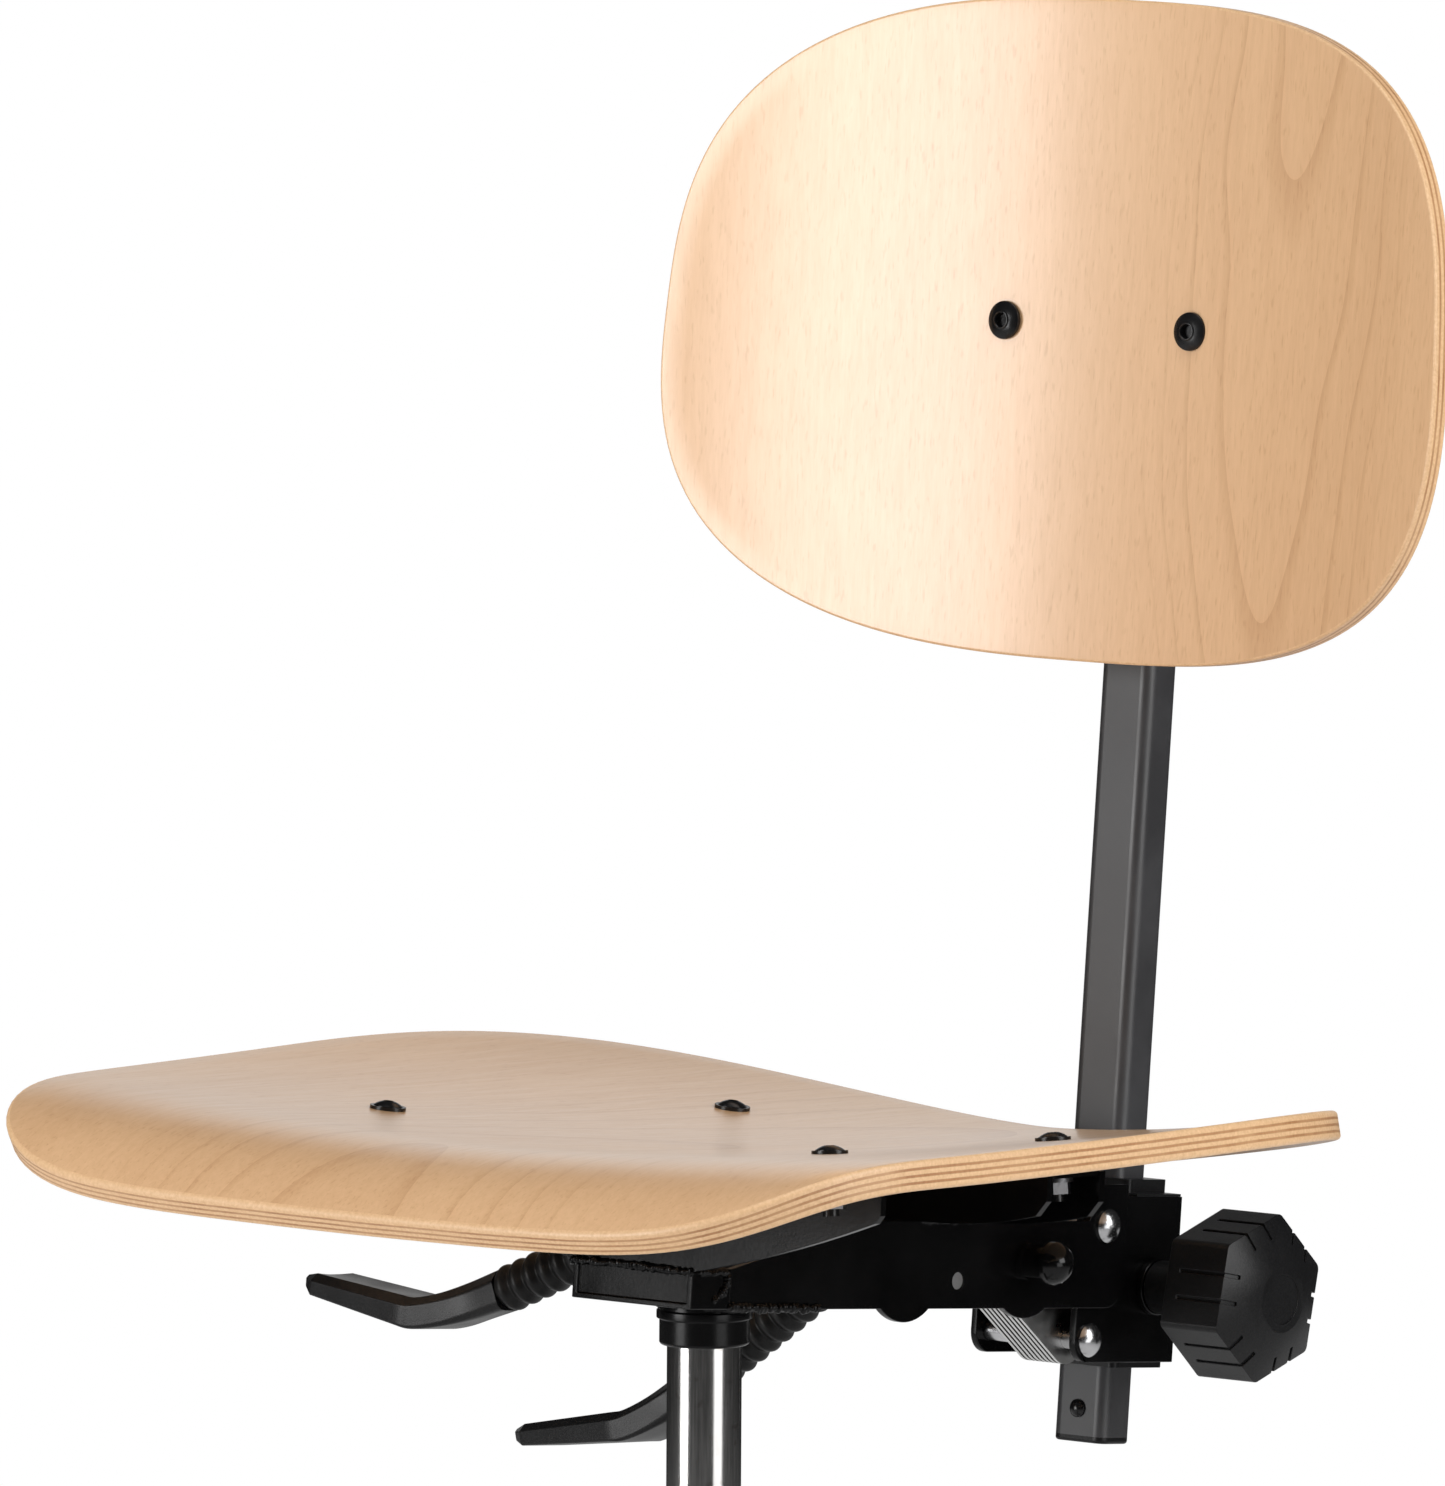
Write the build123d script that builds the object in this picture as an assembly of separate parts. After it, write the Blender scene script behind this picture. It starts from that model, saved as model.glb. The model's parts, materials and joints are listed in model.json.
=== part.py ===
"""Drum throne: plywood seat and backrest on a gas column, with a friction-leaf tilt clamp.

Frame: millimetres, +Z up, the sitter faces -Y, +X is the sitter's left. The origin is on the
floor, on the column axis. The seat is drawn fully raised. The mechanism is drawn level, in its
own frame (x sideways, u rearwards, w upwards, zero at the underside of the socket collar), and
then leaned back by FRAME_LEAN.
"""

from math import atan2, cos, degrees, hypot, pi, radians, sin, sqrt, tan
import os

from build123d import *

# ---------------------------------------------------------------- driving dimensions
# Column and gas spring
COLLAR_HEIGHT = 465.0        # floor to the underside of the socket collar, fully raised
STROKE = 130.0               # height travel of the gas spring
TUBE_DIAMETER = 28.0         # pressure tube
TUBE_WALL = 2.0
ROD_DIAMETER = 10.0          # piston rod
OUTER_DIAMETER = 50.0        # outer column
OUTER_WALL = 2.0
BUSH_FLANGE = 3.0
COLLAR_DIAMETER = 33.8
COLLAR_DEPTH = 10.0
TAPER_DEPTH = 28.0           # how far the pressure tube enters the socket
BUTTON_DIAMETER = 7.0

# Five-arm base
ARM_COUNT = 5
BASE_RADIUS = 300.0          # column axis to glide axis
HUB_DIAMETER = 66.0
HUB_BOTTOM = 44.0
HUB_TOP = 104.0
ARM_ROOT_WIDTH = 38.0
ARM_ROOT_HEIGHT = 50.0
ARM_TIP_WIDTH = 28.0
ARM_TIP_HEIGHT = 22.0
ARM_TIP_BOTTOM = 38.0
GLIDE_DIAMETER = 50.0
GLIDE_STEM = 11.0

# Mechanism frame
FRAME_LEAN = 5.0             # degrees, rear of the mechanism down
PLATE = 3.0                  # sheet thickness of plates and brackets
FRAME_WIDTH = 58.0           # over the side plates
FRAME_BOTTOM = 15.3
FRAME_TOP = 48.5
FRAME_REAR = 211.2
BOX_FRONT = -44.0            # front face of the socket box
BOX_REAR = 34.0
BOX_TOP = 29.3
PLATE_FRONT = -22.0          # where the side plates start
LOBE_RADIUS = 22.0
FRONT_LOBE = (81.2, 32.2)    # u, w of the forward lobe's centre
EAR_TOP = 62.5               # top of the ear round the pivot

# Axles
PIVOT = (199.6, 46.7)        # back tilt pivot: u, w
LOWER_AXLE = (196.5, 2.8)
CLAMP_AXLE = (152.4, 33.5)
SPRING_PIN = (111.7, 25.8)
AXLE_DIAMETER = 8.0
RIVET_HEAD = 13.0
RIVET_RISE = 4.2
CAP_DIAMETER = 16.5
CAP_REACH = 20.5             # dome cap beyond the left plate
CAP_DOME = 8.5               # rim and dome of the cap
CAP_FOOT = 2.5               # its flange on the plate

# Friction leaves
LEAF_COUNT = 8
LEAF_THICKNESS = 1.3
LEAF_PITCH = 2.4
LEAF_WIDTH = 20.0
LEAF_FIRST = -3.0            # x of the first leaf's face
TILT_BACK = 15.0             # degrees of back tilt, rearwards
TILT_FORWARD = 5.0

# Back bracket, bar and clamp
BRACKET_GAP = 0.3            # between bracket plates and side plates
BRACKET_FRONT = 188.3
BRACKET_REAR = 248.3
BRACKET_BOTTOM = -5.8
BRACKET_TOP = 57.6
BAR_CENTRE = 234.0           # u of the bar axis
BAR_WIDTH = 25.0
BAR_DEPTH = 18.4
BAR_CORNER = 4.5
BAR_WALL = 2.0
BAR_BOTTOM = -38.4
BAR_TOP = 425.0
BUSH_FLANGE_SHEET = 1.0      # flange of the upper guide bush, on the bracket plates
BUSH_COLLAR = (38.0, 23.6)   # x and u size of its collar round the bar
BUSH_COLLAR_RISE = 5.0
BUSH_CLEARANCE = 0.1
KNOB_HEIGHT = 23.3           # w of the clamp screw
KNOB_BACK = 54.0             # x of the knob's rear face
KNOB_TURN = 52.0             # degrees from the polygon's first corner to the clamp's rest
KNOB_RIM = 27.4              # length of the six flats
KNOB_CROWN = 7.4             # rise of the knob's end
KNOB_CORNER_RADIUS = 32.8    # centre to corner
NECK_DIAMETER = 20.6
BOSS_HEIGHT = 3.0            # threaded boss on the left bracket plate
SCREW_DIAMETER = 8.0

# Seat
PLY = 11.0                   # seat thickness
SEAT_HALF_WIDTH = 215.5
SEAT_CENTRE = -9.0           # u of the widest line
SEAT_TO_REAR = 206.5
SEAT_TO_FRONT = 203.0
SEAT_REAR_ROUNDNESS = 2.7
SEAT_FRONT_ROUNDNESS = 6.2
SEAT_FLARE = 0.042           # width gained per 200 mm rearwards
SEAT_LEVEL = 74.2            # w of the seat surface at its middle
SEAT_RISE = 3.1              # rise of the middle line per 200 mm rearwards
SEAT_SAG = 5.1               # curvature of the middle line, per 200 mm squared
DISH_DEPTH = 19.6            # rise of the sides at 200 mm from the middle
DISH_GAIN = 12.9             # extra rise of the sides per 200 mm rearwards
DISH_EASE = 3.2              # how much of that rise is lost again, per 200 mm squared
DISH_POWER = 1.63
FALL_START = -118.0          # u where the front starts to fall
FALL_DEPTH = 16.7            # fall at 80 mm in front of that line
FALL_POWER = 3.35
SEAT_MARGIN = 30.0           # the drawn surface reaches this far beyond the edge
FRONT_SCREWS = (107.7, -64.0)
REAR_SCREWS = (78.6, 101.8)
SEAT_SCREW = 6.0
SCREW_HEAD = 13.6
HEAD_LIFT = 0.12             # screw heads bear on curved faces at their rims

# Seat arms
WING_HALF_WIDTH = 117.0
WING_FRONT = -78.0
WING_TIP_DEPTH = 15.7
CHANNEL_HALF_WIDTH = 91.0
CHANNEL_WIDTH = 34.0
CHANNEL_TIP_DEPTH = 18.3
WEB_ROOM = 60.0              # deepest web under the seat

# Backrest
BACK_PLY = 8.5
BACK_HALF_WIDTH = 185.0
BACK_HALF_HEIGHT = 124.5
BACK_ROUNDNESS = 2.8
BACK_NARROWING = 0.047       # width lost at the top edge, gained at the bottom
BACK_RADIUS = 580.0          # curvature round the sitter
BACK_CENTRE = 388.0          # w of the middle of the panel
BACK_FACE = 197.5            # u of the panel's front face on the middle line
BACK_BOLTS = 45.4            # x of the two bolts
BOLT_HEAD = 15.5
SLEEVE_DIAMETER = 9.0
CARRIER_HEIGHT = 60.0

# Levers
LEVER_ROD = 8.0
LEVER_BEND = 6.0             # radius of the rods' knees
KNEE_ROOM = 0.42             # level run before the tilt rod's knee, in bend radii
GAS_KNEE = 5.0               # the gas rod's knee, outside the right side plate
BELLOWS_CREST = 18.2
BELLOWS_ROOT = 14.6
RIB_PITCH = 7.2
HANDLE_ELBOW = 28.5          # degrees between neck and paddle
PADDLE_LENGTH = 48.5
PADDLE_WIDTH = 29.0
PADDLE_HEIGHT = 11.6         # at the elbow
PADDLE_TIP_HEIGHT = 8.6
NECK_LENGTH = 33.0
NECK_SIDE = 16.0             # height and width of the neck at the bellows
GAS_LEVER_HEIGHT = 39.0      # w of the gas lever rod
GAS_LEVER_SLOPE = 23.5       # degrees down from level
GAS_BELLOWS_RIBS = 9
TILT_LEVER_SLOPE = 36.5
TILT_BELLOWS_RIBS = 13
HANDLE_SOCKET = 22.0         # depth of the rod in the handle
GAS_PIVOT_X = -20.0          # x of the gas lever's pin
GAS_PIN = 4.0
BUTTON_GAP = 0.5             # between the valve button and the lever at rest
CAM_RADIUS = 8.5
CAM_PIN = 5.0
TONGUE = 5.0                 # thickness of the clamp axle's flat end
TONGUE_REACH = 15.0          # the axle's end beyond the right plate
FORK_ROOM = 1.6              # between the axle's end and the fork's root, so that the hub can turn

# Clearances
FIT = 0.05                   # radial, turning and sliding fits
SEAT_GAP = 0.05              # between a surface and the piece that carries it

# ---------------------------------------------------------------- derived places
PLATE_OUT = FRAME_WIDTH / 2
PLATE_IN = PLATE_OUT - PLATE
TILT_PIVOT_X = PLATE_OUT + 1.3 + CAM_RADIUS + 0.2
GAS_LEVER_U = -GAS_LEVER_HEIGHT * tan(radians(FRAME_LEAN))
BRACKET_OUT = PLATE_IN - BRACKET_GAP
BRACKET_IN = BRACKET_OUT - PLATE
COLUMN_TOP = COLLAR_HEIGHT - STROKE - 10.0
COLUMN_BOTTOM = HUB_BOTTOM - 6.0
TUBE_TOP = COLLAR_HEIGHT + TAPER_DEPTH
TUBE_BOTTOM = COLUMN_TOP - 90.0
LEAF_ANGLE = degrees(atan2(CLAMP_AXLE[1] - LOWER_AXLE[1], CLAMP_AXLE[0] - LOWER_AXLE[0]))


# ---------------------------------------------------------------- helpers
def mount_on_frame(shape):
    """Leans a shape of the mechanism back about the collar and lifts it to its height."""
    return Pos(0, 0, COLLAR_HEIGHT) * Rot(-FRAME_LEAN, 0, 0) * shape


def lift(shape):
    """Moves an upright shape drawn from the collar's underside up to its height."""
    return Pos(0, 0, COLLAR_HEIGHT) * shape


def rod_x(diameter, x_from, x_to, place=(0.0, 0.0)):
    """A round bar along x from x_from to x_to, centred on place = (u, w)."""
    centre = ((x_from + x_to) / 2, place[0], place[1])
    return Pos(*centre) * Rot(0, 90, 0) * Cylinder(diameter / 2, x_to - x_from)


def block(x, u, w):
    """A box between pairs of limits."""
    size = (x[1] - x[0], u[1] - u[0], w[1] - w[0])
    return Pos((x[0] + x[1]) / 2, (u[0] + u[1]) / 2, (w[0] + w[1]) / 2) * Box(*size)


def plate_x(outline, x_from, x_to):
    """A flat plate from a closed outline in (u, w), between two x."""
    face = Plane.YZ * make_face(outline)
    return Pos(x_from, 0, 0) * extrude(face, x_to - x_from)


def dome_head(diameter, rise, rim):
    """A domed head on z = 0, rim high at its edge."""
    radius = ((diameter / 2) ** 2 + (rise - rim) ** 2) / (2 * (rise - rim))
    ball = Pos(0, 0, rise - radius) * Sphere(radius)
    drum = Pos(0, 0, rise / 2) * Cylinder(diameter / 2, rise)
    return drum & ball


def superellipse_points(half_width, to_front, to_rear, power_front, power_rear, narrowing, steps=10):
    """Points round a squarish outline, its widest line on y = 0."""
    points = []
    for quadrant in range(4):
        rear = quadrant < 2
        reach = to_rear if rear else to_front
        power = power_rear if rear else power_front
        for step in range(steps):
            angle = (quadrant + step / steps) * pi / 2
            across = abs(cos(angle)) ** (2 / power)
            along = abs(sin(angle)) ** (2 / power)
            y = reach * along * (1 if rear else -1)
            x = half_width * (1 + narrowing * y / 200) * across
            points.append((x if quadrant in (0, 3) else -x, y))
    return points


def button_head(diameter, height):
    """Flanged button-head screw top with a hexagon recess, standing on z = 0."""
    flange = Pos(0, 0, 0.6) * Cylinder(diameter / 2, 1.2)
    crown = dome_head(diameter * 0.8, height, 1.4)
    recess = Pos(0, 0, height - 1.6) * extrude(RegularPolygon(2.1, 6), 2.0)
    return (flange + crown) - recess


# ---------------------------------------------------------------- base and column
def base_arm():
    """One tapered arm along +X, from the hub to the glide."""
    root = Plane.YZ.offset(HUB_DIAMETER / 2 - 8) * Pos(0, (HUB_BOTTOM + HUB_TOP) / 2) * (
        RectangleRounded(ARM_ROOT_WIDTH, ARM_ROOT_HEIGHT, 6)
    )
    tip_middle = ARM_TIP_BOTTOM + ARM_TIP_HEIGHT / 2
    tip = Plane.YZ.offset(BASE_RADIUS) * Pos(0, tip_middle) * (
        RectangleRounded(ARM_TIP_WIDTH, ARM_TIP_HEIGHT, 6)
    )
    nose = Pos(BASE_RADIUS, 0, tip_middle) * Cylinder(ARM_TIP_WIDTH / 2, ARM_TIP_HEIGHT)
    return loft([root, tip]) + fillet(nose.edges(), 3)


def base_star():
    hub = Pos(0, 0, (HUB_BOTTOM + HUB_TOP) / 2) * Cylinder(HUB_DIAMETER / 2, HUB_TOP - HUB_BOTTOM)
    star = fillet(hub.edges(), 3)
    for index in range(ARM_COUNT):
        star += Rot(0, 0, index * 360 / ARM_COUNT - 90) * base_arm()
    star -= Pos(0, 0, (HUB_BOTTOM + HUB_TOP) / 2) * Cylinder(
        OUTER_DIAMETER / 2 + SEAT_GAP, HUB_TOP - HUB_BOTTOM + 2
    )
    stem = Pos(BASE_RADIUS, 0, ARM_TIP_BOTTOM) * Cylinder(GLIDE_STEM / 2 + FIT, 2 * 16)
    for index in range(ARM_COUNT):
        star -= Rot(0, 0, index * 360 / ARM_COUNT - 90) * stem
    return star


def base_glides():
    """Five foot discs with a soft rim and a stem that pushes into the arm."""
    profile = Polyline(
        (0, 0), (GLIDE_DIAMETER / 2 - 2, 0), (GLIDE_DIAMETER / 2, 2), (GLIDE_DIAMETER / 2, 7),
        (GLIDE_DIAMETER / 2 - 5, 11), (12, 15), (12, ARM_TIP_BOTTOM - SEAT_GAP),
        (GLIDE_STEM / 2, ARM_TIP_BOTTOM - SEAT_GAP), (GLIDE_STEM / 2, ARM_TIP_BOTTOM + 14),
        (0, ARM_TIP_BOTTOM + 14), close=True,
    )
    glide = revolve(Plane.XZ * make_face(profile), Axis.Z)
    glides = []
    for index in range(ARM_COUNT):
        glides.append(Rot(0, 0, index * 360 / ARM_COUNT - 90) * Pos(BASE_RADIUS, 0, 0) * glide)
    return glides


def tube_between(outer, inner, z_from, z_to):
    height = z_to - z_from
    middle = Pos(0, 0, (z_from + z_to) / 2)
    return middle * (Cylinder(outer / 2, height) - Cylinder(inner / 2, height + 2))


def column_outer_tube():
    """Outer column with its floor plate, which the piston rod hangs from."""
    floor_top = COLUMN_BOTTOM + 4
    tube = tube_between(OUTER_DIAMETER, OUTER_DIAMETER - 2 * OUTER_WALL, COLUMN_BOTTOM, COLUMN_TOP)
    floor = tube_between(
        OUTER_DIAMETER - 2 * OUTER_WALL + 1, ROD_DIAMETER + 2 * FIT, COLUMN_BOTTOM, floor_top
    )
    return tube + floor


def column_guide_bush():
    bore = TUBE_DIAMETER + 2 * FIT
    outer = OUTER_DIAMETER - 2 * OUTER_WALL - 2 * FIT
    sleeve = tube_between(outer, bore, COLUMN_TOP - 70, COLUMN_TOP)
    flange = tube_between(OUTER_DIAMETER + 2, bore, COLUMN_TOP, COLUMN_TOP + BUSH_FLANGE)
    return sleeve + chamfer(flange.edges().group_by(Axis.Z)[-1].sort_by(SortBy.LENGTH)[-1], 1)


def thrust_bearing():
    """Two washers and a ball cage under the rod's shoulder, drawn as one stack."""
    floor_top = COLUMN_BOTTOM + 4
    inner = ROD_DIAMETER + 2 * FIT
    lower = tube_between(24, inner, floor_top, floor_top + 1.5)
    cage = tube_between(20, inner + 2, floor_top + 1.5, floor_top + 4)
    return lower + cage


def rod_shoulder_height():
    return COLUMN_BOTTOM + 4 + 4


def buffer_ring():
    """Rubber buffer and upper washer round the rod, standing on the bearing."""
    base = rod_shoulder_height()
    washer = tube_between(24, ROD_DIAMETER + 2 * FIT, base, base + 1.5)
    rubber = tube_between(22, ROD_DIAMETER + 2 * FIT, base + 1.5, base + 12)
    return washer + rubber


def piston_rod():
    """Rod with a groove for the clip below the column floor."""
    top = TUBE_BOTTOM + 34
    bottom = COLUMN_BOTTOM - 7
    rod = Pos(0, 0, (top + bottom) / 2) * Cylinder(ROD_DIAMETER / 2, top - bottom)
    groove = tube_between(ROD_DIAMETER + 1, ROD_DIAMETER - 3, COLUMN_BOTTOM - 3.2, COLUMN_BOTTOM - 1.5)
    return chamfer(rod.edges(), 0.8) - groove


def rod_clip():
    """Spring clip in the rod's groove, against a washer under the column."""
    washer = tube_between(22, ROD_DIAMETER + 2 * FIT, COLUMN_BOTTOM - 1.5, COLUMN_BOTTOM)
    clip = tube_between(18, ROD_DIAMETER - 3 + 2 * FIT, COLUMN_BOTTOM - 3.1, COLUMN_BOTTOM - 1.6)
    slot = block((-2.6, 2.6), (0, 12), (COLUMN_BOTTOM - 4, COLUMN_BOTTOM - 1.5))
    return [washer, clip - slot]


def piston():
    """Piston with its seal groove, inside the pressure tube."""
    top = TUBE_BOTTOM + 34
    outer = TUBE_DIAMETER - 2 * TUBE_WALL - 2 * FIT
    body = tube_between(outer, ROD_DIAMETER + 2 * FIT, top - 14, top - 1)
    seal = tube_between(outer + 1, outer - 4, top - 9, top - 6)
    return body - seal


def pressure_tube():
    """Bright tube with a closed lower end for the rod and a coned top in the socket."""
    outer = TUBE_DIAMETER / 2
    bore = outer - TUBE_WALL
    rod = ROD_DIAMETER / 2 + FIT
    button = BUTTON_DIAMETER / 2 + FIT
    outside = Polyline(
        (rod, TUBE_BOTTOM), (outer - 1, TUBE_BOTTOM), (outer, TUBE_BOTTOM + 1),
        (outer, COLLAR_HEIGHT), (outer - 0.4, TUBE_TOP - 1), (outer - 1.4, TUBE_TOP),
        (button, TUBE_TOP), (button, TUBE_TOP - 12), (bore, TUBE_TOP - 12),
        (bore, TUBE_BOTTOM + 14), (rod, TUBE_BOTTOM + 14), close=True,
    )
    return revolve(Plane.XZ * make_face(outside), Axis.Z)


def valve_button():
    """Push button in the tube's top, just under the gas lever's rod."""
    axis = GAS_LEVER_HEIGHT / cos(radians(FRAME_LEAN))
    top = COLLAR_HEIGHT + axis - LEVER_ROD / 2 - BUTTON_GAP
    length = top - TUBE_TOP + 11
    button = Cylinder(BUTTON_DIAMETER / 2, length)
    return Pos(0, 0, top - length / 2) * fillet(button.edges().group_by(Axis.Z)[-1], 1)


def socket_collar():
    """Coned socket round the tube, with its lower collar and the weld ring above."""
    outer = COLLAR_DIAMETER / 2
    bore = TUBE_DIAMETER / 2 + FIT
    top = TAPER_DEPTH - 4
    profile = Polyline(
        (bore, 0), (outer - 0.8, 0), (outer, 0.8), (outer, COLLAR_DEPTH), (outer + 1.1, COLLAR_DEPTH),
        (outer + 1.1, COLLAR_DEPTH + 3.2), (outer, COLLAR_DEPTH + 3.2), (outer, top), (bore, top),
        close=True,
    )
    return lift(revolve(Plane.XZ * make_face(profile), Axis.Z))


# ---------------------------------------------------------------- mechanism frame
def socket_box():
    """Welded box that carries the socket; its front plate sits between two cheeks."""
    front = block((-PLATE_OUT, PLATE_OUT), (BOX_FRONT, PLATE_FRONT - 0.1), (FRAME_BOTTOM, BOX_TOP))
    inside = PLATE_IN - SEAT_GAP
    rear = block((-inside, inside), (PLATE_FRONT - 0.2, BOX_REAR), (FRAME_BOTTOM, BOX_TOP))
    box = front + rear
    box -= block(
        (-PLATE_OUT + 2.4, PLATE_OUT - 2.4), (BOX_FRONT - 1, BOX_FRONT + 1.3),
        (FRAME_BOTTOM + 2, BOX_TOP + 1),
    )
    bore = lift(Pos(0, 0, 20) * Cylinder(COLLAR_DIAMETER / 2 + SEAT_GAP, 50))
    ring = lift(Pos(0, 0, COLLAR_DEPTH) * Cylinder(COLLAR_DIAMETER / 2 + 1.3, 7))
    return mount_on_frame(box) - bore - ring


def lobe_points(centre, radius, level):
    """Where a lobe's circle cuts the straight edge at level, and its lowest point."""
    half = sqrt(radius ** 2 - (centre[1] - level) ** 2)
    return (centre[0] - half, level), (centre[0], centre[1] - radius), (centre[0] + half, level)


def side_plate_outline():
    """Frame side plate: rising top edge, two lobes below, an ear round the pivot."""
    lobe_a = lobe_points(FRONT_LOBE, LOBE_RADIUS, FRAME_BOTTOM)
    lobe_b = lobe_points(CLAMP_AXLE, LOBE_RADIUS, FRAME_BOTTOM)
    ear_front = PIVOT[0] - 6
    rear_low = (FRAME_REAR - 10, FRAME_BOTTOM)
    rear_high = (FRAME_REAR, FRAME_BOTTOM + 10)
    corner = FRAME_REAR - 10 * (1 - sqrt(0.5)), FRAME_BOTTOM + 10 * (1 - sqrt(0.5))
    return (
        Line((PLATE_FRONT, FRAME_BOTTOM), lobe_a[0])
        + ThreePointArc(*lobe_a)
        + Line(lobe_a[2], lobe_b[0])
        + ThreePointArc(*lobe_b)
        + Line(lobe_b[2], rear_low)
        + ThreePointArc(rear_low, corner, rear_high)
        + Line(rear_high, (FRAME_REAR, EAR_TOP))
        + Polyline(
            (FRAME_REAR, EAR_TOP), (ear_front + 3, EAR_TOP), (ear_front, EAR_TOP - 3),
            (ear_front - 5, FRAME_TOP), (60, FRAME_TOP), (PLATE_FRONT, BOX_TOP + 1),
            (PLATE_FRONT, FRAME_BOTTOM),
        )
    )


def side_plate(side):
    """One frame plate; side is +1 on the sitter's left and -1 on the right."""
    low, high = sorted((side * PLATE_IN, side * PLATE_OUT))
    plate = plate_x(side_plate_outline(), low, high)
    for place, diameter in (
        (PIVOT, AXLE_DIAMETER), (CLAMP_AXLE, AXLE_DIAMETER), (SPRING_PIN, 6.4)
    ):
        plate -= rod_x(diameter + 2 * FIT, low - 1, high + 1, place)
    if side < 0:
        notch = (LEVER_ROD / 2 + 3) * 2
        plate -= block(
            (low - 1, high + 1), (GAS_LEVER_U - notch / 2, GAS_LEVER_U + notch / 2),
            (GAS_LEVER_HEIGHT - LEVER_ROD / 2 - 4.5, FRAME_TOP + 5),
        )
    return mount_on_frame(plate)


def spring_pin():
    """Anchor bolt across the frame; its end shows in the small hole of the left plate."""
    return mount_on_frame(rod_x(6.4, -PLATE_OUT - 0.4, PLATE_OUT - 0.4, SPRING_PIN))


def riveted_axle(place, x_plate):
    """Axle with a domed head outside each plate."""
    shaft = rod_x(AXLE_DIAMETER, -x_plate, x_plate, place)
    head = dome_head(RIVET_HEAD, RIVET_RISE, 0.8)
    left = Pos(x_plate, place[0], place[1]) * Rot(0, 90, 0) * head
    right = Pos(-x_plate, place[0], place[1]) * Rot(0, -90, 0) * head
    return mount_on_frame(shaft + left + right)


def clamp_axle():
    """Axle through the leaves; its right end is a flat tongue for the cam pin."""
    reach = PLATE_OUT + CAP_REACH - 6
    axle = rod_x(AXLE_DIAMETER, -PLATE_OUT - TONGUE_REACH, reach, CLAMP_AXLE)
    for side in (-1, 1):
        flat = sorted((side * TONGUE / 2, side * AXLE_DIAMETER))
        cheek = (CLAMP_AXLE[0] + flat[0], CLAMP_AXLE[0] + flat[1])
        axle -= block((-PLATE_OUT - TONGUE_REACH - 1, -PLATE_OUT - 1.5), cheek, (0, 90))
    hole = Pos(-TILT_PIVOT_X, CLAMP_AXLE[0], CLAMP_AXLE[1]) * Rot(90, 0, 0)
    return mount_on_frame(axle - hole * Cylinder(CAM_PIN / 2 + FIT, 30))


def cam_washer():
    """Hardened washer between the cam and the right side plate."""
    ring = rod_x(17, -PLATE_OUT - 1.3, -PLATE_OUT - SEAT_GAP, CLAMP_AXLE)
    return mount_on_frame(ring - rod_x(AXLE_DIAMETER + 2 * FIT, -60, 0, CLAMP_AXLE))


def clamp_cap():
    """Collar and glossy domed cap nut on the left end of the clamp axle."""
    dome_foot = PLATE_OUT + CAP_REACH - CAP_DOME
    flange = rod_x(CAP_DIAMETER - 2, PLATE_OUT + SEAT_GAP, PLATE_OUT + CAP_FOOT, CLAMP_AXLE)
    drum = rod_x(CAP_DIAMETER - 4, PLATE_OUT + CAP_FOOT, dome_foot, CLAMP_AXLE)
    dome = Pos(dome_foot, CLAMP_AXLE[0], CLAMP_AXLE[1]) * Rot(0, 90, 0) * (
        dome_head(CAP_DIAMETER, CAP_DOME, 2.2)
    )
    bore = rod_x(AXLE_DIAMETER + 2 * FIT, PLATE_OUT - 1, PLATE_OUT + CAP_REACH - 6 + FIT, CLAMP_AXLE)
    return mount_on_frame(flange + drum + dome - bore)


def leaf_place(index):
    """x of the near face of one leaf."""
    return LEAF_FIRST + index * LEAF_PITCH


def friction_leaves():
    """Eight slotted leaves, drawn along +X from the lower axle and turned to the clamp axle."""
    lower_back = swing(LOWER_AXLE, TILT_BACK)
    lower_forward = swing(LOWER_AXLE, -TILT_FORWARD)
    shortest = hypot(lower_back[0] - CLAMP_AXLE[0], lower_back[1] - CLAMP_AXLE[1])
    longest = hypot(lower_forward[0] - CLAMP_AXLE[0], lower_forward[1] - CLAMP_AXLE[1])
    slot_width = AXLE_DIAMETER + 1.0
    slot = SlotCenterToCenter(longest - shortest + 1.0, slot_width)
    tip = longest + slot_width / 2 + 6
    blank = SlotOverall(tip + LEAF_WIDTH / 2, LEAF_WIDTH)
    face = Pos((tip - LEAF_WIDTH / 2) / 2, 0) * blank
    face -= Pos((longest + shortest) / 2, 0) * slot
    face -= Circle(AXLE_DIAMETER / 2 + FIT)
    leaves = []
    for index in range(LEAF_COUNT):
        turned = Rot(LEAF_ANGLE, 0, 0) * extrude(Plane.YZ * face, LEAF_THICKNESS)
        place = Pos(leaf_place(index), LOWER_AXLE[0], LOWER_AXLE[1])
        leaves.append(mount_on_frame(place * turned))
    return leaves


def swing(point, angle):
    """A point of the back bracket after it leans back by angle degrees about the pivot."""
    u = point[0] - PIVOT[0]
    w = point[1] - PIVOT[1]
    turn = radians(angle)
    return PIVOT[0] + u * cos(turn) + w * sin(turn), PIVOT[1] - u * sin(turn) + w * cos(turn)


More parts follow.
